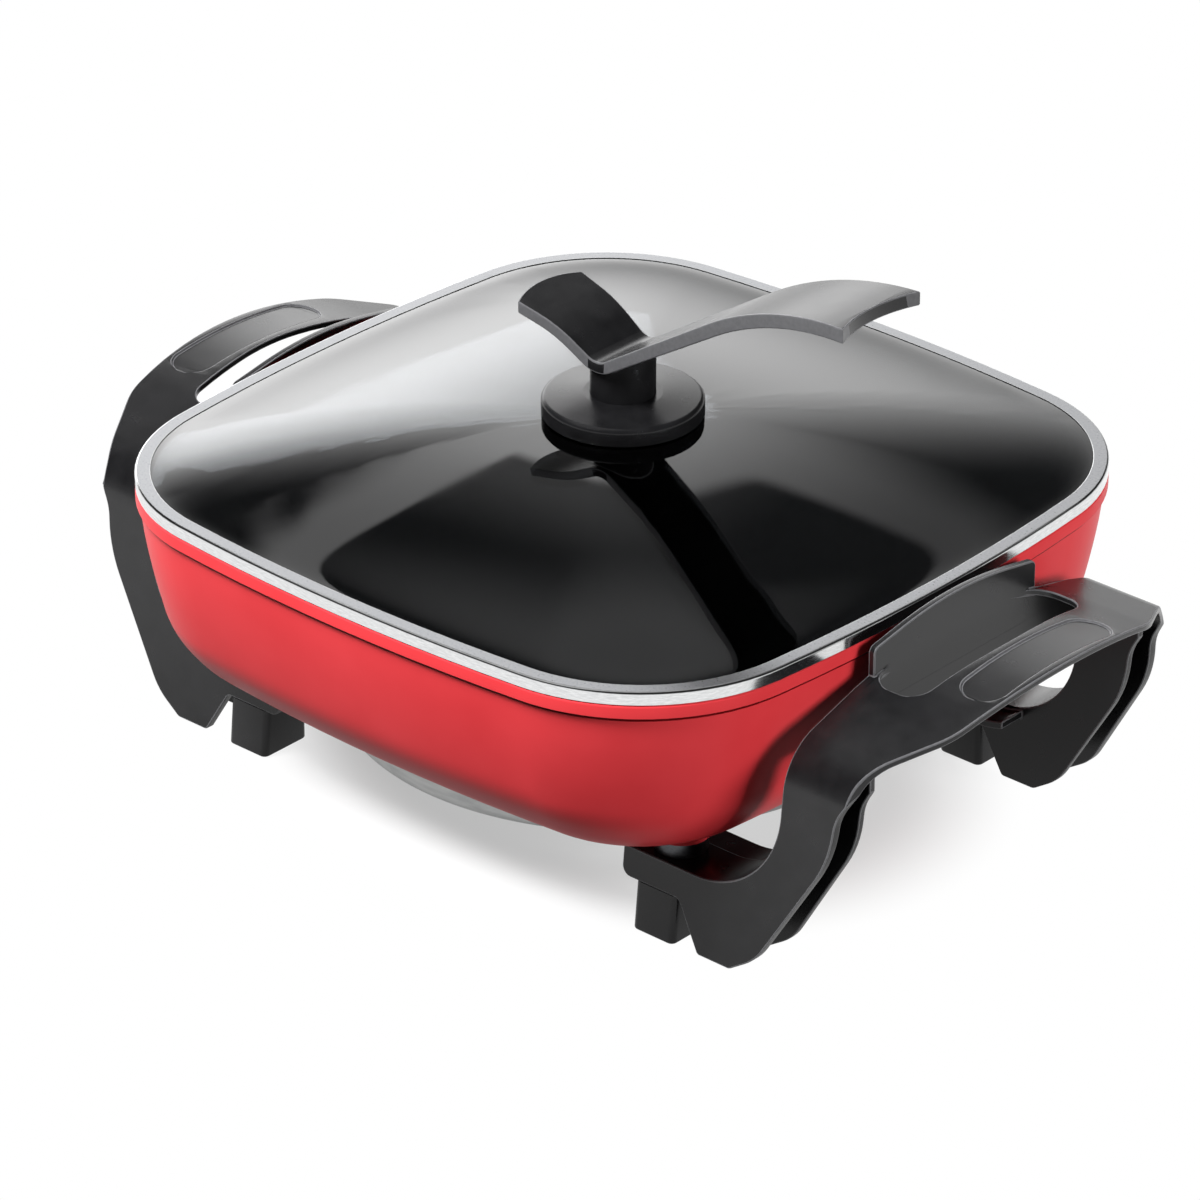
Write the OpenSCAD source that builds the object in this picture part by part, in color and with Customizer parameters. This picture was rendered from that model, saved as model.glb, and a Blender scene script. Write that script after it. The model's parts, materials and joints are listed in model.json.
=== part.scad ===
// Electric hot pot: a square pan on two moulded handles that are also its legs, with a lift-off glass lid.
// Millimetres. The table is z = 0, the handles are on the X sides and the inlet is under the left one.

/* [Pan] */
// Width of the rim across its sides
pan_w = 312; // [300:1:330]
// Corner radius of the rim
corner_r = 74; // [66:1:86]
// Height of the rim above the table
lip_z = 118.5; // [112:0.5:130]
// Depth from the rim to the underside
pan_depth = 78.5; // [70:0.5:84]
// Thickness of the side wall
pan_wall = 3.2; // [2.4:0.1:4.5]
// Thickness of the floor
floor_t = 4; // [3:0.1:6]
// Slope of the side wall
pan_draft = 11.6; // [6:0.1:14]
// Outer radius between wall and floor
bottom_r = 37; // [25:0.5:42]
// Height of the plain band under the rim
lip_h = 5.5; // [4:0.1:9]
// How far the band stands out from the wall
lip_step = 1.3; // [0.8:0.1:2]
// Height of the shadow line under the band
groove_h = 1.2; // [0.8:0.1:2]
// Depth of the shadow line behind the wall face
groove_d = 0.7; // [0.4:0.1:1.2]

/* [Handle] */
// Gap between the rim and the inner face of a handle
handle_gap = 3.5; // [2:0.1:8]
// How far the grip reaches out from that inner face
grip_reach = 53.5; // [48:0.5:62]
// Width of a leg where it meets the grip
leg_w = 28; // [25:0.5:31]
// Thickness of the moulded skin in the legs
skin_t = 4; // [3:0.1:5]
// Thickness of the skin in the grip
grip_t = 2.6; // [2.2:0.1:4]
// Width across the legs at the table
leg_span = 202.4; // [190:0.5:206]
// Lean of the legs
leg_splay = 5.7; // [3:0.1:7]
// Top of the grip below the rim
grip_drop = 5.5; // [2:0.5:12]
// Radius along the top of the grip
grip_crown_r = 200; // [170:5:240]
// Slope of the grip beside its crown
grip_slope = 16.7; // [12:0.1:18]
// Radius where the grip bends down into a leg
bend_r = 23; // [18:0.5:32]
// Bow of the outer edge, seen from above
grip_bow_r = 330; // [250:10:500]
// Where the grip starts to narrow, from the middle
shoulder_y = 57; // [52:0.5:62]
// Where the narrowing ends, from the middle
waist_y = 92.5; // [89:0.5:95]
// Depth of the thumb recess in the grip
recess_d = 0.8; // [0.4:0.1:1.5]
// Width of the thumb recess
recess_w = 18.4; // [12:0.2:19]
// Length of the thumb recess
recess_l = 75.5; // [60:0.5:84]
// Distance of the thumb recess from the outer edge of the grip
recess_in = 3.7; // [3.4:0.1:6]
// Length of the finger slot
slot_l = 98; // [88:1:104]
// Width of the finger slot at its ends
slot_w = 21.5; // [19:0.5:24]
// Corner radius of the finger slot
slot_r = 9; // [5:0.5:10]
// Thickness of the heat shield
shield_t = 3; // [2:0.1:4]
// Length of the heat shield
shield_l = 93; // [80:1:98]
// Top of the heat shield above the rim
shield_rise = 6; // [3:0.5:9]
// How much lower the shield is at its ends
shield_drop = 5.5; // [3:0.5:8]

/* [Legs and feet] */
// Space between the two walls of a leg and the middle plane
inner_y = 76.5; // [73:0.5:78]
// Thickness of the inner leg wall and of its edge web
web_t = 3; // [2.4:0.1:4]
// Reach of an arm under the pan
arm_len = 71.5; // [66:0.5:76]
// Height of an arm
arm_h = 12.2; // [10:0.1:14]
// Radius of the valley between arm and leg
valley_r = 37; // [30:0.5:40]
// Room between a leg's toe and the table
toe_gap = 1.2; // [0.8:0.1:2]
// Width of the flat toe
toe_w = 15.4; // [12:0.2:18]
// Toe's outer corner, in from the handle's inner face
toe_in = 17.8; // [16:0.2:20]
// Run of the slope between toe and arm
heel_run = 10.8; // [8:0.2:13]
// Run of the rounded slope outside the toe
toe_run = 11.8; // [9:0.2:14]
// Rise of that slope
toe_rise = 7.8; // [6:0.2:10]
// How much a leg narrows at its knee
knee_in = 4.5; // [3:0.1:6]
// Width of a foot
foot_w = 20; // [17:0.5:20.5]
// Corner radius of a foot
foot_r = 2; // [1:0.5:4]
// Middle of a foot, in from the arm's end
foot_in = 16.5; // [14:0.5:17]
// Handle screws from the middle plane
screw_y = 85; // [84:0.5:88]
// Reach of an arm's shelf from the middle plane
shelf_y = 64; // [60:0.5:70]
// Diameter of a spacer between arm and pan
spacer_d = 20; // [14:0.5:22]
// Height of a spacer
spacer_h = 6; // [4:0.1:9]
// Height of the cast pads under the pan
pad_h = 2; // [1.5:0.1:4]
// Diameter of the handle screws
screw_d = 5; // [4:0.1:5.5]

/* [Lid] */
// Thickness of the glass
glass_t = 4; // [3:0.1:5]
// Rise of the glass from its edge to its middle
dome_rise = 20; // [10:0.5:32]
// Width of the flat edge of the glass
glass_edge = 6.6; // [6:0.1:9]
// Sheet thickness of the steel band
sheet_t = 0.5; // [0.4:0.05:0.8]
// Width of the band over the glass
band_in = 6; // [4:0.1:8]
// Depth of the flange that centres the lid in the pan
locate_h = 4; // [2:0.1:6]
// Clearance of that flange in the pan
locate_gap = 1.2; // [0.8:0.1:2]
// Gap under the lid at rest
lid_gap = 0.3; // [0.2:0.05:0.6]

/* [Knob] */
// Diameter of the collar
collar_d = 62; // [50:0.5:70]
// Height of the collar's straight edge
collar_edge = 7; // [5:0.1:9]
// Height of the collar's dome above that edge
collar_dome = 1.6; // [1:0.1:4]
// Diameter of the column
column_d = 25; // [22:0.5:30]
// Bottom of the wing's valley above the rim
valley_h = 44.2; // [40:0.2:52]
// Thickness of the short side of the wing
short_t = 4.6; // [4:0.1:6]
// Thickness of the long side of the wing
long_t = 5.8; // [4.6:0.1:7]
// Length of the short side of the wing
short_l = 37; // [30:0.5:42]
// Slope of the short side at the column
short_slope = 31; // [25:0.1:34]
// Slope of the short side at its end
short_tip_slope = 14; // [8:0.1:20]
// Length of the long side of the wing
long_l = 124.5; // [100:0.5:132]
// Slope of the long side
long_slope = 32.6; // [26:0.1:34]
// Level of the long side's flat end above the valley
tip_h = 57; // [48:0.5:60]
// Radius with which the long side flattens out
wing_r = 130; // [90:1:150]
// Width of the wing at the column
wing_w = 30; // [27:0.5:34]
// Width at the short end
short_w = 36; // [30:0.5:42]
// Width at the long end
long_w = 43.5; // [34:0.5:48]
// How far the two ends are arched
end_arch = 4.5; // [2:0.1:6]
// Thickness of the silicone rings
gasket_t = 1.2; // [0.8:0.1:2]
// Diameter of the knob screw
knob_screw_d = 5; // [4:0.1:6]

/* [Heater and inlet] */
// Diameter of the heat plate
plate_d = 170; // [160:1:180]
// Thickness of the heat plate
plate_t = 10; // [8:0.1:10.5]
// Width of the heating loop
loop_w = 120; // [104:1:132]
// Diameter of the sheathed tube
tube_d = 7.6; // [6.5:0.1:8]
// Distance between the two cold ends
pin_pitch = 28; // [24:0.5:32]
// Radius of the bends into the cold ends
tube_bend_r = 12; // [9:0.5:16]
// Diameter of the bottom cover
cover_d = 221; // [214:1:224]
// Depth of the bottom cover
cover_depth = 17.2; // [16:0.1:19]
// Sheet thickness of cover and pin guard
steel_t = 1; // [0.8:0.1:1.2]
// Diameter of the circle of cover screws
cover_screw_ring = 192; // [190:0.5:196]
// Diameter of the terminal pins
pin_d = 6; // [5:0.1:6.4]
// Free length of the terminal pins
pin_l = 22; // [18:0.5:26]
// Width of the pin guard
guard_w = 64; // [56:0.5:70]
// Height of the pin guard
guard_h = 19; // [17:0.1:19]
// Depth of the pin guard
guard_l = 36; // [30:0.5:42]

/* [Hidden] */
$fn = 64;

// Fits: between still pieces, and for a screw in its hole
fit = 0.1;
hole_fit = 0.4;

// Rim outline: bowed sides meet the corner arcs at a slope of 40 in 399, whose slant is 401
rise = 40;
run = 399;
slant = 401;
half_w = pan_w / 2;
unit = round(1000 * (half_w - corner_r) / (slant - run + rise)) / 1000;
arc_r = half_w - unit * (slant - run + rise);
corner_c = rise * unit;
side_c = (run - rise) * unit;
side_r = slant * unit + arc_r;
join_a = atan(rise / run);

// Levels and the inside of the pan
pan_z = lip_z - pan_depth;
groove_z = lip_z - lip_h;
core_in = arc_r - 8;
core_flat = core_in - 8;
lip_inner = wall_in(lip_z) + pan_wall / cos(pan_draft);

// Distance of the wall's outer face from the rim outline at a height
function wall_in(z) = lip_step + tan(pan_draft) * (groove_z - z);

// Handle: inner face, arch over the two legs and arm levels
hx = half_w + handle_gap;
leg_x = hx + leg_w;
grip_x = hx + grip_reach;
grip_z = lip_z - grip_drop;
foot_y0 = leg_span / 2;
hip_z = lip_z / 2 + leg_w * 0.98;
arm_top = pan_z - pad_h - spacer_h;
arm_z = arm_top - arm_h;
arm_x = hx - arm_len;
foot_x = arm_x + foot_in;
foot_rear = inner_y + 1;
foot_seat = 0.2;
screw_seat = arm_z / 2;
screw_head_d = screw_d * 1.8;
screw_head_h = screw_d * 0.65;
shield_top = lip_z + shield_rise;
shield_foot = lip_z - 34;
slot_x = hx + shield_t;

// Lid levels
band_z = lip_z + lid_gap;
band_h = glass_t + 2 * sheet_t + 2 * fit;
rim_top = band_z + band_h;
glass_z = band_z + sheet_t + fit;
glass_top = glass_z + glass_t + dome_rise;
dome_half = half_w - glass_edge;
gasket_d = 30;
seat_r = gasket_d / 2 + 2;
locate_in = lip_inner + locate_gap;

// Height that the dome has lost at a distance from the middle, outside its flat seat
function dome_drop(r) = dome_rise * (max(r - seat_r, 0) / (dome_half - seat_r)) ^ 2;

// Knob levels
collar_r = collar_d / 2;
collar_z = glass_top - dome_drop(collar_r) + 0.4;
collar_floor = glass_top + gasket_t;
collar_top = collar_z + collar_edge + collar_dome;
column_z = collar_top - 3;
valley_z = rim_top + valley_h;
washer_d = 22;
washer_t = 1.2;
under_z = glass_top - glass_t;
insert_d = 9;
insert_l = 12;

// Heater levels and the inlet on the left
plate_z = pan_z - plate_t;
tube_z = plate_z + 1;
loop_r = loop_w / 2;
loop_x = 28;
bend_y = pin_pitch / 2 + tube_bend_r;
turn_r = loop_r - bend_y;
bend_x = loop_x + turn_r + tube_bend_r;
cover_r = cover_d / 2;
guard_x = cover_r + 2.5;
tube_end = guard_x + 2;
bead_l = 10;
bead_d = tube_d + 4;
shank_d = pin_d - 2;
stud_d = 6;
boss_d = 10;
cover_screw_d = 4;
cover_screw_l = 8;
guard_screw_l = 6;
screw_room = 1;
cover_z = pan_z - cover_depth;
guard_ear = 14;
guard_ear_x = guard_x + 8;
guard_ear_y = guard_w / 2 + guard_ear / 2;
guard_top = pan_z - 0.5;
sleeve_d = 7;
sleeve_z = pan_z - plate_t / 2;
sleeve_in = 25;

// Point of a list without its radius, counted in a ring
function spot(p, i) = let (q = p[(i + len(p)) % len(p)]) [q[0], q[1]];
// Unit vector from a to b
function toward(a, b) = (b - a) / norm(b - a);
// Half of the angle at corner i
function half_angle(p, i) = acos(toward(spot(p, i), spot(p, i - 1)) * toward(spot(p, i), spot(p, i + 1))) / 2;
// Tangent point of corner i on the side towards corner j
function touch(p, i, j) = spot(p, i) + toward(spot(p, i), spot(p, j)) * p[i][2] / tan(half_angle(p, i));
// Middle of the arc at corner i
function middle(p, i) =
    let (a = toward(spot(p, i), spot(p, i - 1)), b = toward(spot(p, i), spot(p, i + 1)))
    spot(p, i) + (a + b) / norm(a + b) * p[i][2] / sin(half_angle(p, i));
// Positive where the outline turns left at corner i
function turn(p, i) = cross(spot(p, i) - spot(p, i - 1), spot(p, i + 1) - spot(p, i));
// Mitred point of an open path, moved to its right by d
function right_of(p, i, d) =
    let (
        a = toward(spot(p, max(i - 1, 0)), spot(p, max(i, 1))),
        b = toward(spot(p, min(i, len(p) - 2)), spot(p, min(i + 1, len(p) - 1))),
        n = [a[1] + b[1], -a[0] - b[0]]
    )
    spot(p, i) + n * 2 * d / (n * n);
// Path moved to its right by d, with its radii kept concentric
function moved(p, d) = [
    for (i = [0 : len(p) - 1])
        let (q = right_of(p, i, d))
        [q[0], q[1], max(p[i][2] - sign_of(p, i) * d, 0)]
];
// Which way an open path bends at a point: 1 to the right, -1 to the left
function sign_of(p, i) = i == 0 || i == len(p) - 1 ? 0 : (turn(p, i) < 0 ? 1 : -1);
// List in the other order
function turned(p) = [for (i = [len(p) - 1 : -1 : 0]) p[i]];

// Piece between the arc at corner i and its chord
module segment(p, i) {
    intersection() {
        translate(middle(p, i)) circle(p[i][2]);
        polygon([touch(p, i, i - 1), spot(p, i), touch(p, i, i + 1)]);
    }
}

// Outline through [x, y, radius] corners, counter-clockwise, with true arcs
module rounded(p) {
    ends = [
        for (i = [0 : len(p) - 1])
            each p[i][2] > 0 ? [touch(p, i, i - 1), touch(p, i, i + 1)] : [spot(p, i)]
    ];
    difference() {
        union() {
            polygon(ends);
            for (i = [0 : len(p) - 1])
                if (p[i][2] > 0 && turn(p, i) > 0) segment(p, i);
        }
        for (i = [0 : len(p) - 1])
            if (p[i][2] > 0 && turn(p, i) < 0) segment(p, i);
    }
}

// Outline drawn in Y and Z, drawn out along X
module along_x(x0, x1) {
    translate([x0, 0, 0]) rotate([90, 0, 90]) linear_extrude(x1 - x0) children();
}

// Outline drawn in X and Z, drawn out along Y
module along_y(y0, y1) {
    translate([0, y1, 0]) rotate([90, 0, 0]) linear_extrude(y1 - y0) children();
}

// Section drawn with x = 0 on the rim outline, turned about each side's and each corner's centre
module round_the_rim() {
    join = [corner_c + run / 4, corner_c + rise / 4];
    for (q = [0 : 90 : 270])
        rotate(q) {
            intersection() {
                translate([-side_c, 0, 0]) rotate_extrude() translate([side_r, 0]) children();
                linear_extrude(2 * lip_z) polygon([
                    [corner_c, -corner_c], [join[0], -join[1]], join, [corner_c, corner_c]
                ]);
            }
            intersection() {
                translate([corner_c, corner_c, 0]) rotate_extrude() translate([arc_r, 0]) children();
                linear_extrude(2 * lip_z) polygon([
                    [corner_c, corner_c], join, [join[0], join[0]], [join[1], join[0]]
                ]);
            }
        }
}

// Corner points of the flat middle inside the sweep
function core_points(in) = [
    for (q = [0 : 90 : 270], s = [join_a, 90 - join_a])
        let (x = corner_c + (arc_r - in) * cos(s), y = corner_c + (arc_r - in) * sin(s))
        [x * cos(q) - y * sin(q), x * sin(q) + y * cos(q)]
];

// The four places where a handle arm is screwed to the pan
module at_feet() {
    for (sx = [-1, 1], sy = [-1, 1])
        translate([sx * foot_x, sy * screw_y, 0]) children();
}

// The three places where the cover is screwed to the pan
module at_cover_screws() {
    for (a = [-90, 30, 150])
        rotate(a) translate([cover_screw_ring / 2, 0, 0]) children();
}

// The two places where the pin guard is screwed to the pan
module at_guard_screws() {
    for (s = [-1, 1])
        translate([-guard_ear_x, s * guard_ear_y, 0]) children();
}

// Outside of the pan as one section, out to the flat middle
module pan_section() {
    rounded([
        [-core_in, lip_z, 0], [-core_in, pan_z, 0], [-wall_in(pan_z), pan_z, bottom_r],
        [-wall_in(groove_z - groove_h), groove_z - groove_h, 0],
        [-lip_step - groove_d, groove_z - groove_h, 0], [-lip_step - groove_d, groove_z, 0],
        [0, groove_z, 0.4], [0, lip_z, 0.8]
    ]);
}

// Inside of the pan as one section, open at the rim
module cavity_section() {
    inner = pan_wall / cos(pan_draft);
    floor_z = pan_z + floor_t;
    rounded([
        [-core_in, lip_z + 1, 0], [-core_in, floor_z, 0],
        [-wall_in(floor_z) - inner, floor_z, bottom_r - pan_wall],
        [-wall_in(lip_z + 1) - inner, lip_z + 1, 0]
    ]);
}

// Cast pan with its lip, pads for handles and inlet, cover bosses and heater stud
module pan() {
    color("firebrick") difference() {
        union() {
            round_the_rim() pan_section();
            translate([0, 0, pan_z]) linear_extrude(pan_depth) polygon(core_points(core_flat));
            at_feet() translate([0, 0, pan_z - pad_h]) cylinder(d = spacer_d + 2, h = pad_h + floor_t / 2);
            at_guard_screws() translate([0, 0, guard_top])
                cylinder(d = boss_d, h = pan_z - guard_top + 3 * floor_t);
            at_cover_screws() translate([0, 0, cover_z + steel_t]) cylinder(d = boss_d, h = cover_depth);
            translate([0, 0, plate_z - 4]) cylinder(d = stud_d, h = plate_t + 5);
        }
        round_the_rim() cavity_section();
        translate([0, 0, pan_z + floor_t]) linear_extrude(pan_depth) polygon(core_points(core_flat));
        at_feet() translate([0, 0, pan_z - pad_h - 1])
            cylinder(d = screw_d + fit * 2, h = pad_h + 1 + floor_t * 0.6);
        at_cover_screws() translate([0, 0, cover_z])
            cylinder(d = cover_screw_d + fit * 2, h = cover_screw_l + screw_room);
        at_guard_screws() translate([0, 0, guard_top - 2 * steel_t])
            cylinder(d = cover_screw_d + fit * 2, h = guard_screw_l + screw_room);
    }
}

// Path of the heating tube with any thickness: horseshoe, two S-bends and two straight cold ends
module tube_path(d) {
    translate([0, 0, tube_z]) {
        rotate_extrude(angle = 180, start = -90) translate([loop_r, 0]) circle(d = d);
        for (s = [0, 1])
            mirror([0, s, 0]) {
                translate([-loop_x, loop_r, 0]) rotate([0, 90, 0]) cylinder(d = d, h = loop_x);
                translate([-loop_x, bend_y, 0]) rotate_extrude(angle = 90, start = 90)
                    translate([turn_r, 0]) circle(d = d);
                translate([-bend_x, bend_y, 0]) rotate_extrude(angle = 90, start = -90)
                    translate([tube_bend_r, 0]) circle(d = d);
                translate([-tube_end, pin_pitch / 2, 0]) rotate([0, 90, 0])
                    cylinder(d = d, h = tube_end - bend_x);
            }
    }
}

// Aluminium plate that carries the ring and the feeler of the plug-in control
module heat_plate() {
    color("silver") difference() {
        translate([0, 0, plate_z]) cylinder(d = plate_d, h = plate_t);
        tube_path(tube_d + 2 * fit);
        translate([0, 0, plate_z - 1]) cylinder(d = stud_d + hole_fit, h = plate_t + 2);
        translate([-plate_d / 2 - 1, 0, sleeve_z]) rotate([0, 90, 0])
            cylinder(d = sleeve_d + 2 * fit, h = sleeve_in + 1 + fit);
    }
}

// Sheathed tube
module heating_element() {
    color("dimgray") tube_path(tube_d);
}

// Washer and flat nut on the stud
module heater_nut() {
    washer = 1;
    nut = 3;
    color("gainsboro") difference() {
        union() {
            translate([0, 0, plate_z - washer]) cylinder(d = 2.4 * stud_d, h = washer);
            translate([0, 0, plate_z - washer - nut]) cylinder(d = 1.9 * stud_d, h = nut, $fn = 6);
        }
        translate([0, 0, plate_z - washer - nut - 1]) cylinder(d = stud_d + 2 * fit, h = washer + nut + 2);
    }
}

// Spun dish under the heater, notched for the cold ends
module bottom_cover() {
    edge_r = 4;
    vent_d = 5;
    bead_room = 3;
    notch_w = pin_pitch + bead_d + 2 * bead_room;
    color("lightgray") difference() {
        rotate_extrude() rounded([
            [0, cover_z, 0], [cover_r, cover_z, edge_r], [cover_r, pan_z, 0], [cover_r - steel_t, pan_z, 0],
            [cover_r - steel_t, cover_z + steel_t, edge_r - steel_t], [0, cover_z + steel_t, 0]
        ]);
        translate([-cover_r - 1, -notch_w / 2, tube_z - bead_d / 2 - 0.6])
            cube([cover_r / 4, notch_w, plate_t + bead_d]);
        at_cover_screws() translate([0, 0, cover_z - 1])
            cylinder(d = cover_screw_d + hole_fit, h = steel_t + 2);
        for (a = [0 : 30 : 330])
            rotate(a) translate([loop_r * 0.6, 0, cover_z - 1]) cylinder(d = vent_d, h = steel_t + 2);
    }
}

// Pan-head screw, head down, with its seat at z = 0 and a cross in the head
module screw(d, length, head_d, head_h) {
    cross_l = head_d * 0.56;
    cross_w = head_d * 0.12;
    difference() {
        union() {
            translate([0, 0, -head_h]) cylinder(d1 = head_d * 0.8, d2 = head_d, h = head_h);
            cylinder(d = d, h = length);
        }
        for (a = [0, 90])
            rotate(a) translate([-cross_l / 2, -cross_w / 2, -head_h - 1])
                cube([cross_l, cross_w, 1 + head_h / 2]);
    }
}

module cover_screws() {
    color("gainsboro") at_cover_screws() translate([0, 0, cover_z])
        screw(cover_screw_d, cover_screw_l, 2 * cover_screw_d, cover_screw_d / 2);
}

// Sheet-steel shroud round the pins, open outward, with an ear on each side
module pin_guard() {
    ear_t = steel_t * 2;
    color("silver") difference() {
        union() {
            translate([-guard_x - guard_l, -guard_w / 2, guard_top - guard_h])
                cube([guard_l, guard_w, guard_h]);
            translate([-guard_ear_x - guard_ear / 2, -guard_w / 2 - guard_ear, guard_top - ear_t])
                cube([guard_ear, guard_w + 2 * guard_ear, ear_t]);
        }
        translate([-guard_x - guard_l - 1, -guard_w / 2 + steel_t, guard_top - guard_h + steel_t])
            cube([guard_l + 1 - steel_t, guard_w - 2 * steel_t, guard_h - 2 * steel_t]);
        for (s = [-1, 1])
            translate([-guard_x - 2 * steel_t, s * pin_pitch / 2, tube_z]) rotate([0, 90, 0])
                cylinder(d = bead_d + 2 * fit, h = 4 * steel_t);
        translate([-guard_x - 2 * steel_t, 0, sleeve_z]) rotate([0, 90, 0])
            cylinder(d = sleeve_d + 2 * fit, h = 4 * steel_t);
        at_guard_screws() translate([0, 0, guard_top - ear_t - 1])
            cylinder(d = cover_screw_d + hole_fit, h = ear_t + 2);
    }
}

module guard_screws() {
    color("gainsboro") at_guard_screws() translate([0, 0, guard_top - 2 * steel_t])
        screw(cover_screw_d, guard_screw_l, 2 * cover_screw_d, cover_screw_d / 2);
}

// Pins with domed ends, whose thinner shanks carry on from the cold ends inside the beads
module terminal_pins() {
    root = bead_l / 2;
    color("gold") for (s = [-1, 1])
        translate([-tube_end - fit, s * pin_pitch / 2, tube_z]) rotate([0, -90, 0]) {
            cylinder(d = shank_d, h = root + 1);
            translate([0, 0, root]) cylinder(d = pin_d, h = pin_l);
            translate([0, 0, root + pin_l]) intersection() {
                sphere(d = pin_d);
                cylinder(d = pin_d, h = pin_d);
            }
        }
}

// Ceramic beads, bored for the tube at one end and for the pin at the other
module pin_insulators() {
    color("white") for (s = [-1, 1])
        translate([-tube_end, s * pin_pitch / 2, tube_z]) rotate([0, 90, 0]) difference() {
            translate([0, 0, -bead_l / 2]) cylinder(d = bead_d, h = bead_l);
            translate([0, 0, -fit]) cylinder(d = tube_d + 2 * fit, h = bead_l);
            translate([0, 0, -bead_l]) cylinder(d = shank_d + 2 * fit, h = 2 * bead_l);
        }
}

// Tube for the feeler of the plug-in control
module probe_sleeve() {
    reach = guard_x + 3 - plate_d / 2 + sleeve_in;
    color("peru") translate([-guard_x - 3, 0, sleeve_z]) rotate([0, 90, 0]) difference() {
        cylinder(d = sleeve_d, h = reach);
        translate([0, 0, -1]) cylinder(d = sleeve_d - 2 * steel_t, h = reach - 1);
    }
}

// Side view of one leg: arm under the pan, valley, leg that widens upward from its knee, and toe
module leg_side() {
    top = lip_z + 20;
    toe_x = hx - toe_in;
    knee = lip_z / 2;
    flare = leg_x + knee_in * 2 / 3;
    rounded([
        [arm_x, arm_z, 4], [toe_x - toe_w - heel_run, arm_z, 3], [toe_x - toe_w, toe_gap, 2],
        [toe_x, toe_gap, 3], [toe_x + toe_run, toe_gap + toe_rise, 25], [leg_x - knee_in, knee, 50],
        [leg_x - knee_in * 0.7, knee + leg_w * 0.6, 20], [flare, hip_z, 0], [flare, top, 0],
        [hx, top, 0], [hx, arm_top, valley_r], [arm_x, arm_top, 1.5]
    ]);
}

// Hollow of a leg, open outward and down, inside the web that follows arm and valley
module leg_hollow() {
    top = lip_z + 21;
    out = grip_x + 10;
    rounded([
        [arm_x + web_t, -1, 0], [out, -1, 0], [out, top, 0], [hx + web_t, top, 0],
        [hx + web_t, arm_top - web_t, valley_r + web_t], [arm_x + web_t, arm_top - web_t, 1]
    ]);
}

// Outer edge of grip and legs from above: bowed grip, shoulders and waists
module handle_plan() {
    edge_slope = 8.6;
    apex = grip_x + grip_bow_r * (1 / cos(edge_slope) - 1);
    shoulder_x = apex - tan(edge_slope) * shoulder_y;
    side = foot_y0 + 10;
    rounded([
        [arm_x - 1, -side, 0], [leg_x, -side, 0], [leg_x, -waist_y, 25], [shoulder_x, -shoulder_y, 30],
        [apex, 0, grip_bow_r], [shoulder_x, shoulder_y, 30], [leg_x, waist_y, 25], [leg_x, side, 0],
        [arm_x - 1, side, 0]
    ]);
}

// Path up one leg, over the grip and down the other, g below the top of the grip and l inside the legs
function arch_path(g, l) =
    let (
        top = grip_z + grip_crown_r * (1 / cos(grip_slope) - 1) - g / cos(grip_slope),
        foot = foot_y0 - l / cos(leg_splay),
        y = (foot - tan(leg_splay) * (top - toe_gap)) / (1 - tan(leg_splay) * tan(grip_slope)),
        z = top - tan(grip_slope) * y,
        r = bend_r - max(g, l)
    )
    [[-foot, toe_gap, 0], [-y, z, r], [0, top, grip_crown_r - g], [y, z, r], [foot, toe_gap, 0]];

// Band between the outside of the arch and its inside, drawn in Y and Z
module arch_band() {
    rounded(concat(arch_path(grip_t, skin_t), turned(arch_path(0, 0))));
}

// All that lies under such a path, drawn in Y and Z
module under_arch(g, l) {
    rounded(turned(arch_path(g, l)));
}

// Skin of grip and legs: the arch, trimmed to the side view and to the plan
module handle_skin() {
    intersection() {
        along_x(arm_x - 1, grip_x + 1) arch_band();
        along_y(-foot_y0 - 1, foot_y0 + 1) union() {
            leg_side();
            translate([hx, hip_z]) square([grip_reach + 1, lip_z]);
        }
        linear_extrude(2 * lip_z) handle_plan();
    }
}

// Inner wall of one leg with the web that closes its inner edge
module leg_inner() {
    intersection() {
        along_x(arm_x - 1, leg_x + 1) under_arch(grip_t / 2, skin_t / 2);
        difference() {
            along_y(inner_y, foot_y0) leg_side();
            along_y(inner_y + web_t, foot_y0 + 1) leg_hollow();
        }
    }
}

// Shelf behind an arm, a step below its top, that widens the seat of the spacer
module arm_shelf() {
    step = 1.2;
    reach = arm_len - valley_r * 0.65;
    translate([0, 0, -step]) intersection() {
        along_y(shelf_y, inner_y + web_t / 2) difference() {
            leg_side();
            leg_hollow();
        }
        translate([arm_x + web_t, shelf_y, 0]) cube([reach - web_t, inner_y, lip_z / 2]);
    }
}

// Shield that keeps fingers off the pan: arched upstand with a wall below it from leg to leg
module shield() {
    half_l = shield_l / 2;
    end_z = shield_top - shield_drop;
    apex_r = 170;
    slope = atan(1.5 * shield_drop / half_l);
    along_x(hx, hx + shield_t) union() {
        rounded([
            [-half_l, shield_foot, 0], [half_l, shield_foot, 0], [half_l, end_z, 3],
            [0, end_z + tan(slope) * half_l, apex_r], [-half_l, end_z, 3]
        ]);
        intersection() {
            under_arch(grip_t / 2, skin_t / 2);
            translate([-inner_y - 1, shield_foot]) square([2 * inner_y + 2, lip_z]);
        }
    }
}

// Finger slot between shield and grip, from above
module slot_plan() {
    half_l = slot_l / 2;
    out = slot_x + slot_w;
    slot_bow = 4;
    slot_bow_r = 2 * slot_l;
    rounded([
        [slot_x, -half_l, slot_r], [out, -half_l, slot_r], [out + slot_bow, 0, slot_bow_r],
        [out, half_l, slot_r], [slot_x, half_l, slot_r]
    ]);
}

// Thumb recess on top of the grip, from above: straight sides and round ends
module recess_plan() {
    half_l = recess_l / 2;
    end_r = recess_w / 2 - 0.5;
    x1 = grip_x - recess_in;
    x0 = x1 - recess_w;
    rounded([
        [x0, -half_l, end_r], [x1, -half_l, end_r], [x1, half_l, end_r], [x0, half_l, end_r]
    ]);
}

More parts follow.
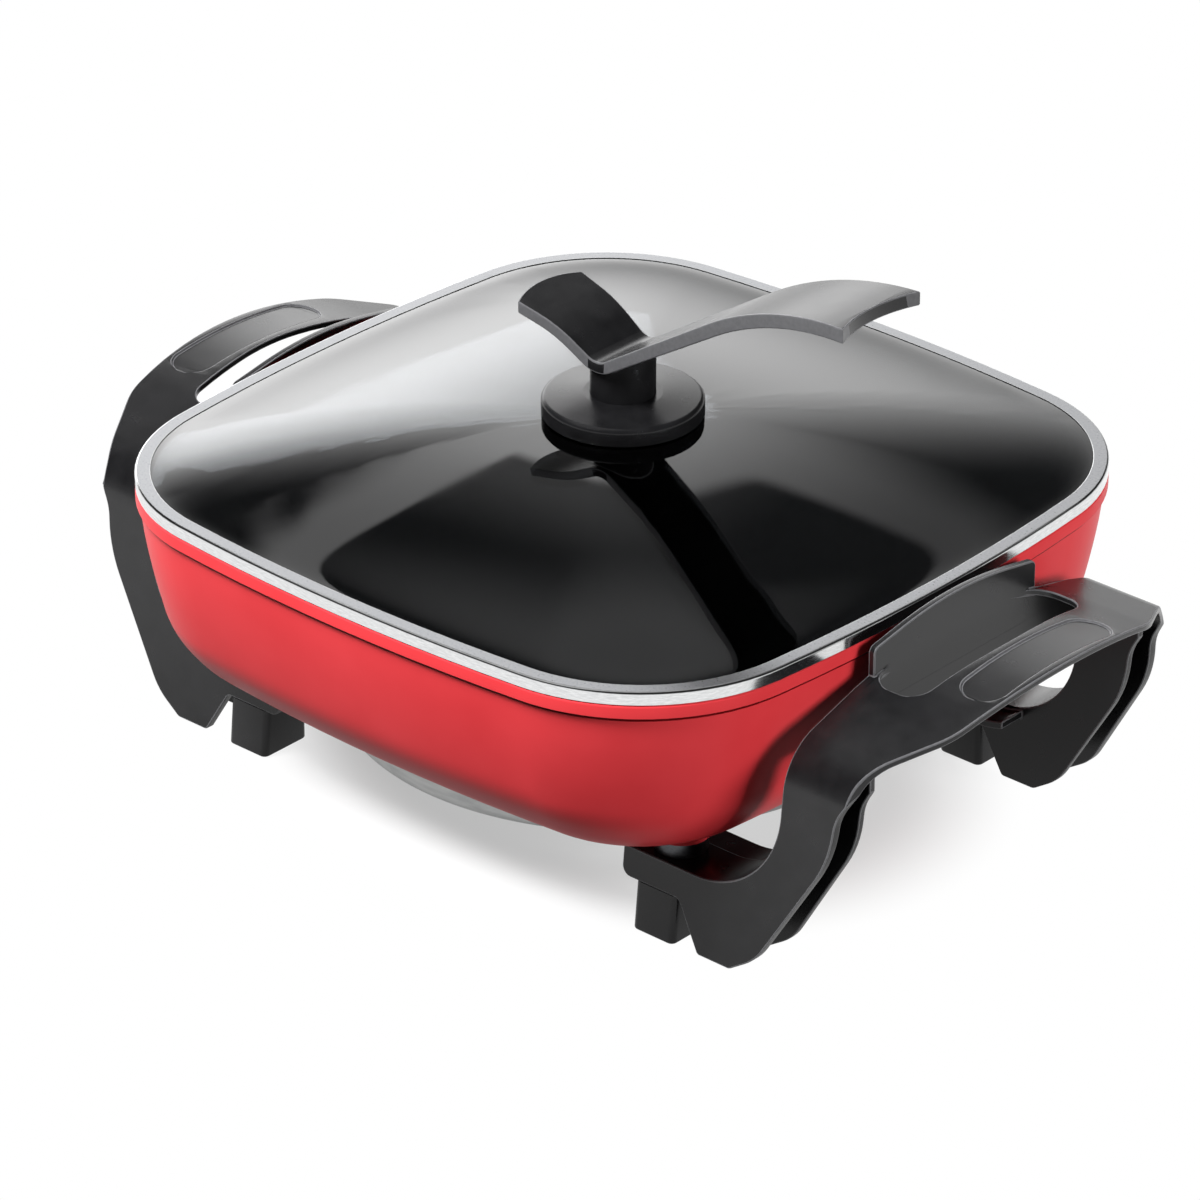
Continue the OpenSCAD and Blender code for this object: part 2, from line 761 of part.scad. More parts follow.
// One moulding: grip, shield and two legs, for the right side
module handle() {
    difference() {
        union() {
            handle_skin();
            for (s = [0, 1])
                mirror([0, s, 0]) {
                    leg_inner();
                    arm_shelf();
                }
            shield();
        }
        translate([0, 0, shield_foot - 10]) linear_extrude(lip_z) slot_plan();
        difference() {
            translate([0, 0, shield_foot]) linear_extrude(lip_z) recess_plan();
            along_x(hx, grip_x + 1) under_arch(recess_d, recess_d);
        }
        for (s = [-1, 1])
            translate([foot_x, s * screw_y, arm_z]) cylinder(d = screw_d + hole_fit, h = arm_h + 1);
    }
}

module handle_right() {
    color("dimgray") handle();
}

module handle_left() {
    color("gray") mirror([1, 0, 0]) handle();
}

// Foot block under each arm: leaning front, spigot inside the arm and a recess for the screw
module feet() {
    block_h = arm_z - foot_seat;
    lean = tan(leg_splay);
    front = foot_y0 + lean * toe_gap - foot_seat;
    spigot_w = foot_w - 4;
    spigot_rear = inner_y + web_t + hole_fit;
    spigot_l = foot_y0 - lean * arm_top - skin_t - 1 - inner_y - web_t;
    color("black") for (sx = [0, 1], sy = [0, 1])
        mirror([sx, 0, 0]) mirror([0, sy, 0]) translate([foot_x, 0, 0]) difference() {
            union() {
                intersection() {
                    linear_extrude(block_h) rounded([
                        [-foot_w / 2, foot_rear, foot_r], [foot_w / 2, foot_rear, foot_r],
                        [foot_w / 2, front, foot_r], [-foot_w / 2, front, foot_r]
                    ]);
                    along_x(-foot_w, foot_w) polygon([
                        [0, 0], [front, 0], [front - lean * block_h, block_h], [0, block_h]
                    ]);
                }
                translate([-spigot_w / 2, spigot_rear, block_h - 1])
                    cube([spigot_w, spigot_l, arm_h - web_t + 1]);
            }
            translate([0, screw_y, -1]) cylinder(d = screw_head_d + 1.5, h = screw_seat + 1);
            translate([0, screw_y, 0]) cylinder(d = screw_d + hole_fit, h = arm_top);
        }
}

// Sleeves between the arms and the pads of the pan
module spacers() {
    color("darkgray") at_feet() translate([0, 0, arm_top]) difference() {
        cylinder(d = spacer_d, h = spacer_h);
        translate([0, 0, -1]) cylinder(d = screw_d + hole_fit, h = spacer_h + 2);
    }
}

module handle_screws() {
    reach = pan_z + floor_t * 0.6 - 1 - screw_seat;
    color("gainsboro") at_feet() translate([0, 0, screw_seat])
        screw(screw_d, reach, screw_head_d, screw_head_h);
}

// Point k of a ring round the rim outline, moved in by d
side_steps = 5;
corner_steps = 11;
ring_n = 4 * (side_steps + corner_steps);
function ring_point(d, k) =
    let (
        q = floor(k / (side_steps + corner_steps)) * 90,
        m = k % (side_steps + corner_steps),
        on_side = m < side_steps,
        a = on_side ? join_a * (2 * m / side_steps - 1)
            : join_a + (90 - 2 * join_a) * (m - side_steps) / corner_steps,
        r = (on_side ? side_r : arc_r) - d,
        c = on_side ? [-side_c, 0] : [corner_c, corner_c],
        p = c + r * [cos(a), sin(a)]
    )
    [p[0] * cos(q) - p[1] * sin(q), p[0] * sin(q) + p[1] * cos(q)];

// Domed glass: flat edge inside the band, then rings that shrink towards the flat seat as they rise
module lid_glass() {
    rings = 9;
    edge_in = sheet_t + fit;
    seat = seat_r / dome_half;
    top = [
        for (k = [0 : ring_n - 1]) concat(ring_point(edge_in, k), 0),
        for (i = [0 : rings - 1], k = [0 : ring_n - 1])
            let (u = 1 - i / (rings - 1))
            concat((seat + u * (1 - seat)) * ring_point(glass_edge, k), dome_rise * (1 - u ^ 2))
    ];
    n = len(top);
    peak = 2 * n;
    points = concat(
        [for (p = top) p + [0, 0, glass_z + glass_t]], [for (p = top) p + [0, 0, glass_z]],
        [[0, 0, glass_top], [0, 0, glass_top - glass_t]]
    );
    strips = [
        for (i = [0 : rings - 1], k = [0 : ring_n - 1])
            let (a = i * ring_n + k, b = i * ring_n + (k + 1) % ring_n)
            each [[a, a + ring_n, b], [b, a + ring_n, b + ring_n]]
    ];
    fan = [for (k = [0 : ring_n - 1]) [n - ring_n + k, peak, n - ring_n + (k + 1) % ring_n]];
    under = [for (f = concat(strips, fan)) [for (j = [2, 1, 0]) f[j] == peak ? peak + 1 : f[j] + n]];
    edge = [
        for (k = [0 : ring_n - 1])
            let (a = k, b = (k + 1) % ring_n)
            each [[a, b, a + n], [b, b + n, a + n]]
    ];
    color("lightsteelblue", 0.5) difference() {
        polyhedron(points, concat(strips, fan, under, edge));
        translate([0, 0, glass_z]) cylinder(d = knob_screw_d + 3, h = glass_top);
    }
}

// Steel band folded round the edge of the glass, with the flange that centres the lid
module lid_rim() {
    color("whitesmoke") round_the_rim() rounded([
        [0, band_z, 0.2], [0, rim_top, 1], [-band_in, rim_top, 0], [-band_in, rim_top - sheet_t, 0],
        [-sheet_t, rim_top - sheet_t, 0.5], [-sheet_t, band_z + sheet_t, 0],
        [-locate_in - sheet_t, band_z + sheet_t, 0], [-locate_in - sheet_t, band_z - locate_h, 0],
        [-locate_in, band_z - locate_h, 0], [-locate_in, band_z, 0]
    ]);
}

// Top line of the wing from the short end to the long one, drawn in X and Z
tip_slope = 1.7;
over = 5;
valley_fillet = 8;
knee_x = short_l / 2;
knee_z = valley_z + knee_x * tan(short_slope);
short_end = short_l + end_arch + over;
rise_x = (tip_h - long_l * tan(tip_slope)) / (tan(long_slope) - tan(tip_slope));
wing_line = [
    [-short_end, knee_z + (short_end - knee_x) * tan(short_tip_slope), 0],
    [-knee_x, knee_z, short_l * 1.5],
    [0, valley_z, valley_fillet],
    [rise_x, valley_z + rise_x * tan(long_slope), wing_r],
    [long_l + over, valley_z + tip_h + over * tan(tip_slope), 0]
];
// Underside of the wing, thinner on the short side
wing_under = [for (i = [0 : 4]) moved(wing_line, i < 3 ? short_t : long_t)[i]];

// Plan of the wing: waisted at the column, with an arched end on each side
module wing_plan() {
    waist_r = 2 * wing_w;
    short_r = ((short_w / 2) ^ 2 + end_arch ^ 2) / (2 * end_arch);
    long_r = ((long_w / 2) ^ 2 + end_arch ^ 2) / (2 * end_arch);
    difference() {
        intersection() {
            rounded([
                [long_l, -long_w / 2, 0], [long_l, long_w / 2, 0], [0, wing_w / 2, waist_r],
                [-short_l, short_w / 2, 0], [-short_l - end_arch, short_w / 2, 0],
                [-short_l - end_arch, -short_w / 2, 0], [-short_l, -short_w / 2, 0], [0, -wing_w / 2, waist_r]
            ]);
            union() {
                translate([short_r - short_l - end_arch, 0]) circle(short_r);
                translate([-short_l / 2, -long_w]) square([2 * long_l, 2 * long_w]);
            }
        }
        translate([long_l - end_arch + long_r, 0]) circle(long_r);
    }
}

// Wing-shaped grip with the column that carries it
module knob_wing() {
    body = concat(wing_under, turned(wing_line));
    color("dimgray") difference() {
        union() {
            intersection() {
                along_y(-long_w, long_w) rounded(body);
                linear_extrude(4 * lip_z) wing_plan();
            }
            intersection() {
                translate([0, 0, column_z]) cylinder(d = column_d, h = tip_h + valley_h);
                along_y(-long_w, long_w) rounded(concat(
                    [[-short_end, 0, 0], [long_l + over, 0, 0]], turned(moved(wing_line, short_t / 2))
                ));
            }
        }
        translate([0, 0, column_z - 1]) cylinder(d = insert_d + 2 * fit, h = insert_l + 1 + fit);
    }
}

// Collar: straight edge, dome, socket for the column and hollow underside
module knob_collar() {
    socket_r = column_d / 2 + fit;
    hub_r = socket_r + 2.5;
    color("black") difference() {
        rotate_extrude() rounded([
            [0, collar_z, 0], [collar_r, collar_z, 0.6], [collar_r, collar_z + collar_edge, 2],
            [hub_r, collar_top, 3], [0, collar_top, 0]
        ]);
        translate([0, 0, collar_z - 1]) cylinder(r = collar_r - 5, h = collar_floor - collar_z + 1);
        translate([0, 0, column_z]) cylinder(r = socket_r, h = collar_top - column_z + 1);
        translate([0, 0, collar_z - 1]) cylinder(d = knob_screw_d + hole_fit, h = collar_top);
    }
}

// Flat ring
module ring(outer, inner, z, h) {
    translate([0, 0, z]) difference() {
        cylinder(d = outer, h = h);
        translate([0, 0, -1]) cylinder(d = inner, h = h + 2);
    }
}

module knob_gasket() {
    color("ivory") ring(gasket_d, knob_screw_d + 1, glass_top, gasket_t);
}

module inner_gasket() {
    color("ivory") ring(washer_d, knob_screw_d + 1, under_z - gasket_t, gasket_t);
}

module knob_washer() {
    color("gainsboro") ring(washer_d, knob_screw_d + hole_fit, under_z - gasket_t - washer_t, washer_t);
}

module knob_screw() {
    seat = under_z - gasket_t - washer_t;
    color("silver") translate([0, 0, seat])
        screw(knob_screw_d, column_z + insert_l - 2 - seat, 2 * knob_screw_d, knob_screw_d * 0.65);
}

// Brass thread moulded into the column
module knob_insert() {
    color("goldenrod") ring(insert_d, knob_screw_d + 2 * fit, column_z, insert_l);
}

pan();
heat_plate();
heating_element();
heater_nut();
bottom_cover();
cover_screws();
pin_guard();
guard_screws();
terminal_pins();
pin_insulators();
probe_sleeve();
handle_right();
handle_left();
feet();
spacers();
handle_screws();
lid_glass();
lid_rim();
knob_wing();
knob_collar();
knob_gasket();
inner_gasket();
knob_washer();
knob_screw();
knob_insert();
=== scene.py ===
# %% [markdown]
# # An electric hot pot, dressed for a studio photograph
# The pot has a square cast pan with rounded corners, two black mouldings that are handle and leg in one,
# and a domed glass lid with a steel band and a wing-shaped knob. Its solids come from CAD and already have
# the right shapes and sizes. What they lack is what the eye looks for first: the small radius on every
# moulded edge, the slight swell of the cast wall, the even curve of the glass, and the finishes. Those are
# made here, one piece at a time.

import json
import math

import bpy
from mathutils import Matrix, Vector

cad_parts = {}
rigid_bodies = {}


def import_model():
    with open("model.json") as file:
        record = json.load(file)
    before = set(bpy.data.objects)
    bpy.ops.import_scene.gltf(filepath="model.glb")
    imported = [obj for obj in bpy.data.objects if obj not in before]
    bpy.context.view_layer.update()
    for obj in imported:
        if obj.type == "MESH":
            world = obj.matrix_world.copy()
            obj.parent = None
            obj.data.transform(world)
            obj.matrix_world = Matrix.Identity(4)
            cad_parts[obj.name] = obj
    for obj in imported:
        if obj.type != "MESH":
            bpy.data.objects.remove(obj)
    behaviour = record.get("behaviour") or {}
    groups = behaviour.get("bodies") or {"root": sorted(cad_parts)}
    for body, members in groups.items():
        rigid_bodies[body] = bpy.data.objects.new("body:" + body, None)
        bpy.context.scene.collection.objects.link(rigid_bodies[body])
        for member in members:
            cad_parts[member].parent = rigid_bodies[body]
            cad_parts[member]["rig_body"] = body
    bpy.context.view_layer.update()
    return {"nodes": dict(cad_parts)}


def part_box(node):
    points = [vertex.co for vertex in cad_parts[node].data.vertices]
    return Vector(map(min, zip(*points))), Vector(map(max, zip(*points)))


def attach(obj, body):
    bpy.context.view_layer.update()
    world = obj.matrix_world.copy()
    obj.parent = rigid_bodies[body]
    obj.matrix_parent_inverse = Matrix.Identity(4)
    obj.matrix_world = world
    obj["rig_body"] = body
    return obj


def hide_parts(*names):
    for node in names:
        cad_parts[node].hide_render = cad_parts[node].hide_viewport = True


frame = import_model()
nodes = frame["nodes"]
scene = bpy.context.scene
scene.view_settings.view_transform = "Standard"

# %% [markdown]
# ## The camera
# A camera can be aimed by eye, or by a track constraint, or placed by numbers. This one was solved from the
# outline of the rim, which is a square of known size, so its three axes are written down: right, up and
# back. A long lens from about two and a half metres keeps the far handle nearly as large as the near one,
# as product pictures do.

# %% Place the camera
right = (0.74507, 0.66699, 0.0)
up = (-0.31396, 0.35071, 0.88230)
back = (0.58848, -0.65737, 0.47071)
eye = (1.4490, -1.6316, 1.2271)
camera = bpy.data.objects.new("studio_camera", bpy.data.cameras.new("studio_camera"))
scene.collection.objects.link(camera)
camera.data.sensor_width = 36.0
camera.data.lens = 193.9
camera.matrix_world = Matrix([(right[i], up[i], back[i], eye[i]) for i in range(3)] + [(0, 0, 0, 1)])
scene.camera = camera
print("camera", round(Vector(eye).length, 3), "m from the middle of the pot's foot")

# %% [markdown]
# ## Colours and nodes
# Paint charts and screens give colours as sRGB hex values, but a shader works in linear light, so one
# function turns the one into the other. A second small function adds a shader node with its settings and
# its inputs: an input that is itself an output socket is linked, and any other value is typed in.


# %% Colour and node helpers
def linear(code):
    """An sRGB hex colour as the linear RGBA that a shader takes."""
    parts = [int(code[i : i + 2], 16) / 255 for i in (1, 3, 5)]
    return [c / 12.92 if c <= 0.04045 else ((c + 0.055) / 1.055) ** 2.4 for c in parts] + [1.0]


def node(tree, kind, inputs=(), **settings):
    """A new node with its settings; inputs are (socket, value) or (socket, output to link)."""
    new = tree.nodes.new(kind)
    for name, value in settings.items():
        setattr(new, name, value)
    for socket, value in inputs:
        if isinstance(value, bpy.types.NodeSocket):
            tree.links.new(value, new.inputs[socket])
        else:
            new.inputs[socket].default_value = value
    return new


print("mid grey in linear light:", round(linear("#808080")[0], 3))

# %% [markdown]
# Pattern sizes are thought of in millimetres and the scene is in metres, so a third function turns the
# spacing of a pattern into the scale that its node wants. A fourth starts a material: it types the values
# that are the same all over the surface into the main shader, and gives the place on the piece in Object
# coordinates. Those stay put when the piece moves, so a pattern never slides.


# %% Helpers for a finish
def per_metre(mm):
    """Scale of a pattern whose features are so many millimetres apart."""
    return 1000.0 / mm


def finish(name, **sockets):
    """A new material, its node tree, its main shader and Object coordinates."""
    made = bpy.data.materials.new(name)
    made.use_nodes = True
    tree = made.node_tree
    shader = tree.nodes["Principled BSDF"]
    for socket, value in sockets.items():
        shader.inputs[socket.replace("_", " ")].default_value = value
    place = node(tree, "ShaderNodeTexCoord").outputs["Object"]
    return made, tree, shader, place


print("scale of a pattern 2 mm apart:", per_metre(2))

# %% [markdown]
# ## Red baked enamel
# The pan is die-cast aluminium, sprayed with a red enamel and baked. Sprayed enamel never dries quite
# level: it keeps a faint orange peel, about 1.5 mm across, and its gloss drifts a little over the surface.
# One noise makes the peel as a bump, and a broad one moves the roughness and the depth of the red. This
# coat is close to matt, with hardly a highlight, so its specular level is far below the usual one half.

# %% Red enamel
red_enamel, tree, shader, place = finish(
    "red_enamel_baked_on_cast_aluminium", IOR=1.5, Specular_IOR_Level=0.06
)
drift = node(tree, "ShaderNodeTexNoise", [("Vector", place), ("Scale", per_metre(45)), ("Detail", 3.0)])
red = node(tree, "ShaderNodeValToRGB", [("Fac", drift.outputs["Fac"])])
for stop, position, code in zip(red.color_ramp.elements, (0.3, 0.7), ("#C53237", "#CE3A3F")):
    stop.position, stop.color = position, linear(code)
gloss = node(
    tree, "ShaderNodeMapRange", [("Value", drift.outputs["Fac"]), ("To Min", 0.34), ("To Max", 0.42)]
)
tree.links.new(gloss.outputs["Result"], shader.inputs["Roughness"])
peel = node(tree, "ShaderNodeTexNoise", [("Vector", place), ("Scale", per_metre(1.5)), ("Detail", 1.0)])
bump = node(
    tree, "ShaderNodeBump", [("Height", peel.outputs["Fac"]), ("Strength", 0.10), ("Distance", 0.0001)]
)
tree.links.new(bump.outputs["Normal"], shader.inputs["Normal"])
print("made", red_enamel.name)

# %% [markdown]
# Where the lip of the pan meets the wall there is a narrow step, and the eye sees it as a thin dark line
# round the pan. Light reaches too far into so small a step in a render, so its shadow is painted: a Math
# node finds the places within a little of one level, and a Mix node gives them a deep red.

# %% Painted shadow line under the lip
lip_height = 0.0055
line_drop, half_line = 0.0006, 0.0009
lip_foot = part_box("pan")[1][2] - lip_height
height = node(tree, "ShaderNodeSeparateXYZ", [("Vector", place)]).outputs["Z"]
# Painted shade: a deep red band at one height stands in for the shadow in the step.
painted_shade_line = node(
    tree, "ShaderNodeMath", [(0, height), (1, lip_foot - line_drop), (2, half_line)], operation="COMPARE"
)
coat = node(
    tree,
    "ShaderNodeMix",
    [("Factor", painted_shade_line.outputs[0]), ("A", red.outputs["Color"]), ("B", linear("#6E0C10"))],
    data_type="RGBA",
)
tree.links.new(coat.outputs["Result"], shader.inputs["Base Color"])
print("dark line at", round((lip_foot - line_drop) * 1000, 1), "mm above the table")

# %% [markdown]
# ## Black non-stick inside the pan
# The inside is sprayed with a fluoropolymer and cured. It is a soft black with pale mineral flecks, and a
# fine pebbled skin that spreads the light. The real flecks are about half a millimetre across and thinly
# sown: the middles of Voronoi cells 2.2 mm apart.

# %% Non-stick lining
non_stick, tree, shader, place = finish("black_fluoropolymer_sprayed_and_cured", IOR=1.38)
flecks = node(tree, "ShaderNodeTexVoronoi", [("Vector", place), ("Scale", per_metre(2.2))])
sown = node(
    tree,
    "ShaderNodeMapRange",
    [("Value", flecks.outputs["Distance"]), ("From Min", 0.10), ("From Max", 0.16)],
)
black = node(
    tree,
    "ShaderNodeMix",
    [("Factor", sown.outputs["Result"]), ("A", linear("#4A4A4A")), ("B", linear("#161617"))],
    data_type="RGBA",
)
tree.links.new(black.outputs["Result"], shader.inputs["Base Color"])
skin = node(tree, "ShaderNodeTexNoise", [("Vector", place), ("Scale", per_metre(0.8)), ("Detail", 2.0)])
dull = node(tree, "ShaderNodeMapRange", [("Value", skin.outputs["Fac"]), ("To Min", 0.38), ("To Max", 0.52)])
tree.links.new(dull.outputs["Result"], shader.inputs["Roughness"])
bump = node(
    tree, "ShaderNodeBump", [("Height", skin.outputs["Fac"]), ("Strength", 0.15), ("Distance", 0.0001)]
)
tree.links.new(bump.outputs["Normal"], shader.inputs["Normal"])
print("made", non_stick.name)

# %% [markdown]
# ## Black phenolic moulding
# Handles, feet and knob are phenolic, pressed in a hot mould whose faces were spark-eroded. That leaves a
# fine even grain, which turns a plain black gloss into a satin one. The real grain is near 0.15 mm; here it
# is drawn at 0.5 mm so that the picture can hold it. Wood flour in the resin also makes the black a little
# uneven.

# %% Phenolic
phenolic, tree, shader, place = finish(
    "black_phenolic_hot_pressed_grained", IOR=1.5, Specular_IOR_Level=0.38
)
flour_and_highlight_tone = node(tree, "ShaderNodeTexNoise", [("Vector", place), ("Scale", per_metre(9)), ("Detail", 5.0)])
charcoal = node(tree, "ShaderNodeValToRGB", [("Fac", flour_and_highlight_tone.outputs["Fac"])])
for stop, position, code in zip(charcoal.color_ramp.elements, (0.3, 0.7), ("#0D0D0E", "#141415")):
    stop.position, stop.color = position, linear(code)
tree.links.new(charcoal.outputs["Color"], shader.inputs["Base Color"])
satin = node(
    tree, "ShaderNodeMapRange", [("Value", flour_and_highlight_tone.outputs["Fac"]), ("To Min", 0.22), ("To Max", 0.30)]
)
tree.links.new(satin.outputs["Result"], shader.inputs["Roughness"])
grain = node(tree, "ShaderNodeTexNoise", [("Vector", place), ("Scale", per_metre(0.5)), ("Detail", 2.0)])
bump = node(
    tree, "ShaderNodeBump", [("Height", grain.outputs["Fac"]), ("Strength", 0.22), ("Distance", 0.0001)]
)
tree.links.new(bump.outputs["Normal"], shader.inputs["Normal"])
print("made", phenolic.name)

# %% [markdown]
# The moulded edges and the narrow upright sides of the wing get a lighter, duller grey than the black
# body. That grey is a painted highlight: it stands in for the thin light line that those edges catch.

# %% Painted edge highlight
painted_edge_highlight, tree, shader, place = finish("black_phenolic_painted_edge_highlight", IOR=1.5, Roughness=0.38)
flour_and_highlight_tone = node(tree, "ShaderNodeTexNoise", [("Vector", place), ("Scale", per_metre(1.5)), ("Detail", 4.0)])
# Painted highlight: a grey much lighter than the black phenolic, drifting a little.
grey = node(tree, "ShaderNodeValToRGB", [("Fac", flour_and_highlight_tone.outputs["Fac"])])
for stop, position, code in zip(grey.color_ramp.elements, (0.3, 0.7), ("#464648", "#505052")):
    stop.position, stop.color = position, linear(code)
tree.links.new(grey.outputs["Color"], shader.inputs["Base Color"])
print("made", painted_edge_highlight.name)

# %% [markdown]
# ## Tinted toughened glass
# The lid is a dark tinted sheet, sagged over a mould while hot and then quenched. Its faces are
# fire-polished, so it mirrors the studio sharply and lets only a little light through. Sagging leaves a
# very slow waviness, tens of millimetres long, that bends the mirrored edges, and hands leave faint smears
# that dull it in patches.

# %% Glass
tinted_glass, tree, shader, place = finish(
    "dark_tinted_glass_sagged_and_toughened",
    IOR=1.5,
    Base_Color=linear("#4A4D50"),
    Transmission_Weight=1.0,
)
smear = node(tree, "ShaderNodeTexNoise", [("Vector", place), ("Scale", per_metre(60)), ("Detail", 4.0)])
smear_range = [("From Min", 0.45), ("From Max", 0.75), ("To Min", 0.015), ("To Max", 0.06)]
dull = node(tree, "ShaderNodeMapRange", [("Value", smear.outputs["Fac"])] + smear_range)
tree.links.new(dull.outputs["Result"], shader.inputs["Roughness"])
wave = node(tree, "ShaderNodeTexNoise", [("Vector", place), ("Scale", per_metre(70)), ("Detail", 0.0)])
bump = node(
    tree, "ShaderNodeBump", [("Height", wave.outputs["Fac"]), ("Strength", 0.06), ("Distance", 0.0005)]
)
tree.links.new(bump.outputs["Normal"], shader.inputs["Normal"])
print("made", tinted_glass.name)

# %% [markdown]
# ## Metals
# Nine metal finishes are needed, most of them seen only from below. They differ in colour and in how the
# surface was made, so one cell builds them from a short table: a colour pair that the surface drifts
# between, its least and greatest roughness, the size of its texture in millimetres, how that texture is
# squeezed along each axis, and how deep it is. Polished steel has fine streaks along the band; rolled sheet
# has long ones; cast and blasted metal have a round grain. Streaks are noise squeezed by a Mapping node.

# %% Table of metals
round_grain = (1.0, 1.0, 1.0)
metal_table = [
    ("stainless_steel_rolled_and_polished", "#C9CACB", "#DCDDDD", 0.10, 0.20, 3.0, (1.0, 1.0, 6.0), 0.03),
    ("stainless_steel_blasted", "#86878A", "#949597", 0.24, 0.34, 1.0, round_grain, 0.05),
    ("aluminised_steel_sheet_rolled", "#9C9D9D", "#B4B5B4", 0.30, 0.46, 2.5, (0.12, 1.0, 1.0), 0.08),
    ("zinc_plated_steel_turned", "#A6A9AC", "#BFC1C2", 0.26, 0.40, 1.2, (1.0, 1.0, 4.0), 0.08),
    ("steel_turned_and_blackened", "#46474A", "#5A5B5D", 0.26, 0.40, 1.2, (1.0, 1.0, 4.0), 0.08),
    ("aluminium_as_cast", "#A8A9AB", "#BEBFC0", 0.42, 0.58, 1.6, round_grain, 0.20),
    ("steel_sheath_oxidised_by_heat", "#3A3632", "#5A5148", 0.40, 0.60, 4.0, round_grain, 0.06),
    ("brass_nickel_plated", "#B9B3A5", "#CCC7BA", 0.16, 0.28, 1.5, round_grain, 0.04),
    ("brass_turned", "#B08D47", "#C7A65C", 0.22, 0.34, 0.8, (1.0, 1.0, 5.0), 0.08),
]
print("metals in the table:", len(metal_table))

# %% Build the metals
metals = {}
for name, darker, lighter, smooth, rough, size, squeeze, depth in metal_table:
    metal, tree, shader, place = finish(name, Metallic=1.0)
    drawn = node(tree, "ShaderNodeMapping", [("Vector", place), ("Scale", squeeze)]).outputs["Vector"]
    texture = node(
        tree, "ShaderNodeTexNoise", [("Vector", drawn), ("Scale", per_metre(size)), ("Detail", 4.0)]
    ).outputs["Fac"]
    tint = node(tree, "ShaderNodeValToRGB", [("Fac", texture)])
    for stop, position, code in zip(tint.color_ramp.elements, (0.3, 0.7), (darker, lighter)):
        stop.position, stop.color = position, linear(code)
    tree.links.new(tint.outputs["Color"], shader.inputs["Base Color"])
    spread = node(tree, "ShaderNodeMapRange", [("Value", texture), ("To Min", smooth), ("To Max", rough)])
    tree.links.new(spread.outputs["Result"], shader.inputs["Roughness"])
    bump = node(tree, "ShaderNodeBump", [("Height", texture), ("Strength", depth), ("Distance", 0.0002)])
    tree.links.new(bump.outputs["Normal"], shader.inputs["Normal"])
    metals[name] = metal
print("made", len(metals), "metals")

# %% [markdown]
# ## Ceramic and silicone
# The beads that insulate the pins are pressed steatite, a dense off-white ceramic with a dry surface and a
# few grey specks. The gaskets are moulded silicone rubber: pale, a little waxy, and soft to light, so some
# of the light goes in and comes out again nearby.

# %% Ceramic
steatite, tree, shader, place = finish("steatite_pressed_and_fired", IOR=1.6, Roughness=0.55)
specks = node(tree, "ShaderNodeTexNoise", [("Vector", place), ("Scale", per_metre(0.9)), ("Detail", 3.0)])
fired = node(tree, "ShaderNodeValToRGB", [("Fac", specks.outputs["Fac"])])
for stop, position, code in zip(fired.color_ramp.elements, (0.28, 0.42), ("#B9B2A6", "#E6E1D8")):
    stop.position, stop.color = position, linear(code)
tree.links.new(fired.outputs["Color"], shader.inputs["Base Color"])
bump = node(
    tree, "ShaderNodeBump", [("Height", specks.outputs["Fac"]), ("Strength", 0.2), ("Distance", 0.0001)]
)
tree.links.new(bump.outputs["Normal"], shader.inputs["Normal"])
print("made", steatite.name)

# %% Silicone
silicone, tree, shader, place = finish(
    "silicone_rubber_moulded", IOR=1.41, Subsurface_Weight=0.2, Subsurface_Scale=0.001
)
bloom = node(tree, "ShaderNodeTexNoise", [("Vector", place), ("Scale", per_metre(5)), ("Detail", 4.0)])
milky = node(tree, "ShaderNodeValToRGB", [("Fac", bloom.outputs["Fac"])])
for stop, position, code in zip(milky.color_ramp.elements, (0.3, 0.7), ("#CFC9BE", "#DDD8CE")):
    stop.position, stop.color = position, linear(code)
tree.links.new(milky.outputs["Color"], shader.inputs["Base Color"])
waxy = node(tree, "ShaderNodeMapRange", [("Value", bloom.outputs["Fac"]), ("To Min", 0.40), ("To Max", 0.60)])
tree.links.new(waxy.outputs["Result"], shader.inputs["Roughness"])
print("made", silicone.name)

# %% [markdown]
# ## Pieces that keep their CAD shape
# Screws, pins, sheet covers and gaskets are right as they are, so they only get their finish: the CAD
# object's material slot is given the new material.

# %% Dress the plain pieces
dressing = {
    "heat_plate": metals["aluminium_as_cast"],
    "heating_element": metals["steel_sheath_oxidised_by_heat"],
    "heater_nut": metals["zinc_plated_steel_turned"],
    "bottom_cover": metals["aluminised_steel_sheet_rolled"],
    "cover_screws": metals["zinc_plated_steel_turned"],
    "pin_guard": metals["aluminised_steel_sheet_rolled"],
    "guard_screws": metals["zinc_plated_steel_turned"],
    "terminal_pins": metals["brass_nickel_plated"],
    "pin_insulators": steatite,
    "probe_sleeve": metals["brass_nickel_plated"],
    "spacers": metals["steel_turned_and_blackened"],
    "handle_screws": metals["zinc_plated_steel_turned"],
    "knob_gasket": silicone,
    "inner_gasket": silicone,
    "knob_washer": metals["stainless_steel_rolled_and_polished"],
    "knob_screw": metals["stainless_steel_rolled_and_polished"],
    "knob_insert": metals["brass_turned"],
}
for name, coat in dressing.items():
    nodes[name].data.materials.clear()
    nodes[name].data.materials.append(coat)
print("dressed", len(dressing), "CAD pieces")

# %% [markdown]
# ## Copies to work on
# A CAD mesh is loose triangles, which no edge tool can follow. So each piece that needs more is copied and
# its doubled corners are merged. Where only flat faces and edges matter, triangles that lie in one plane
# are also dissolved into one face, and what is left has clean edges where the real piece has edges. The
# copy then stands for its node, which stays hidden underneath for collisions.


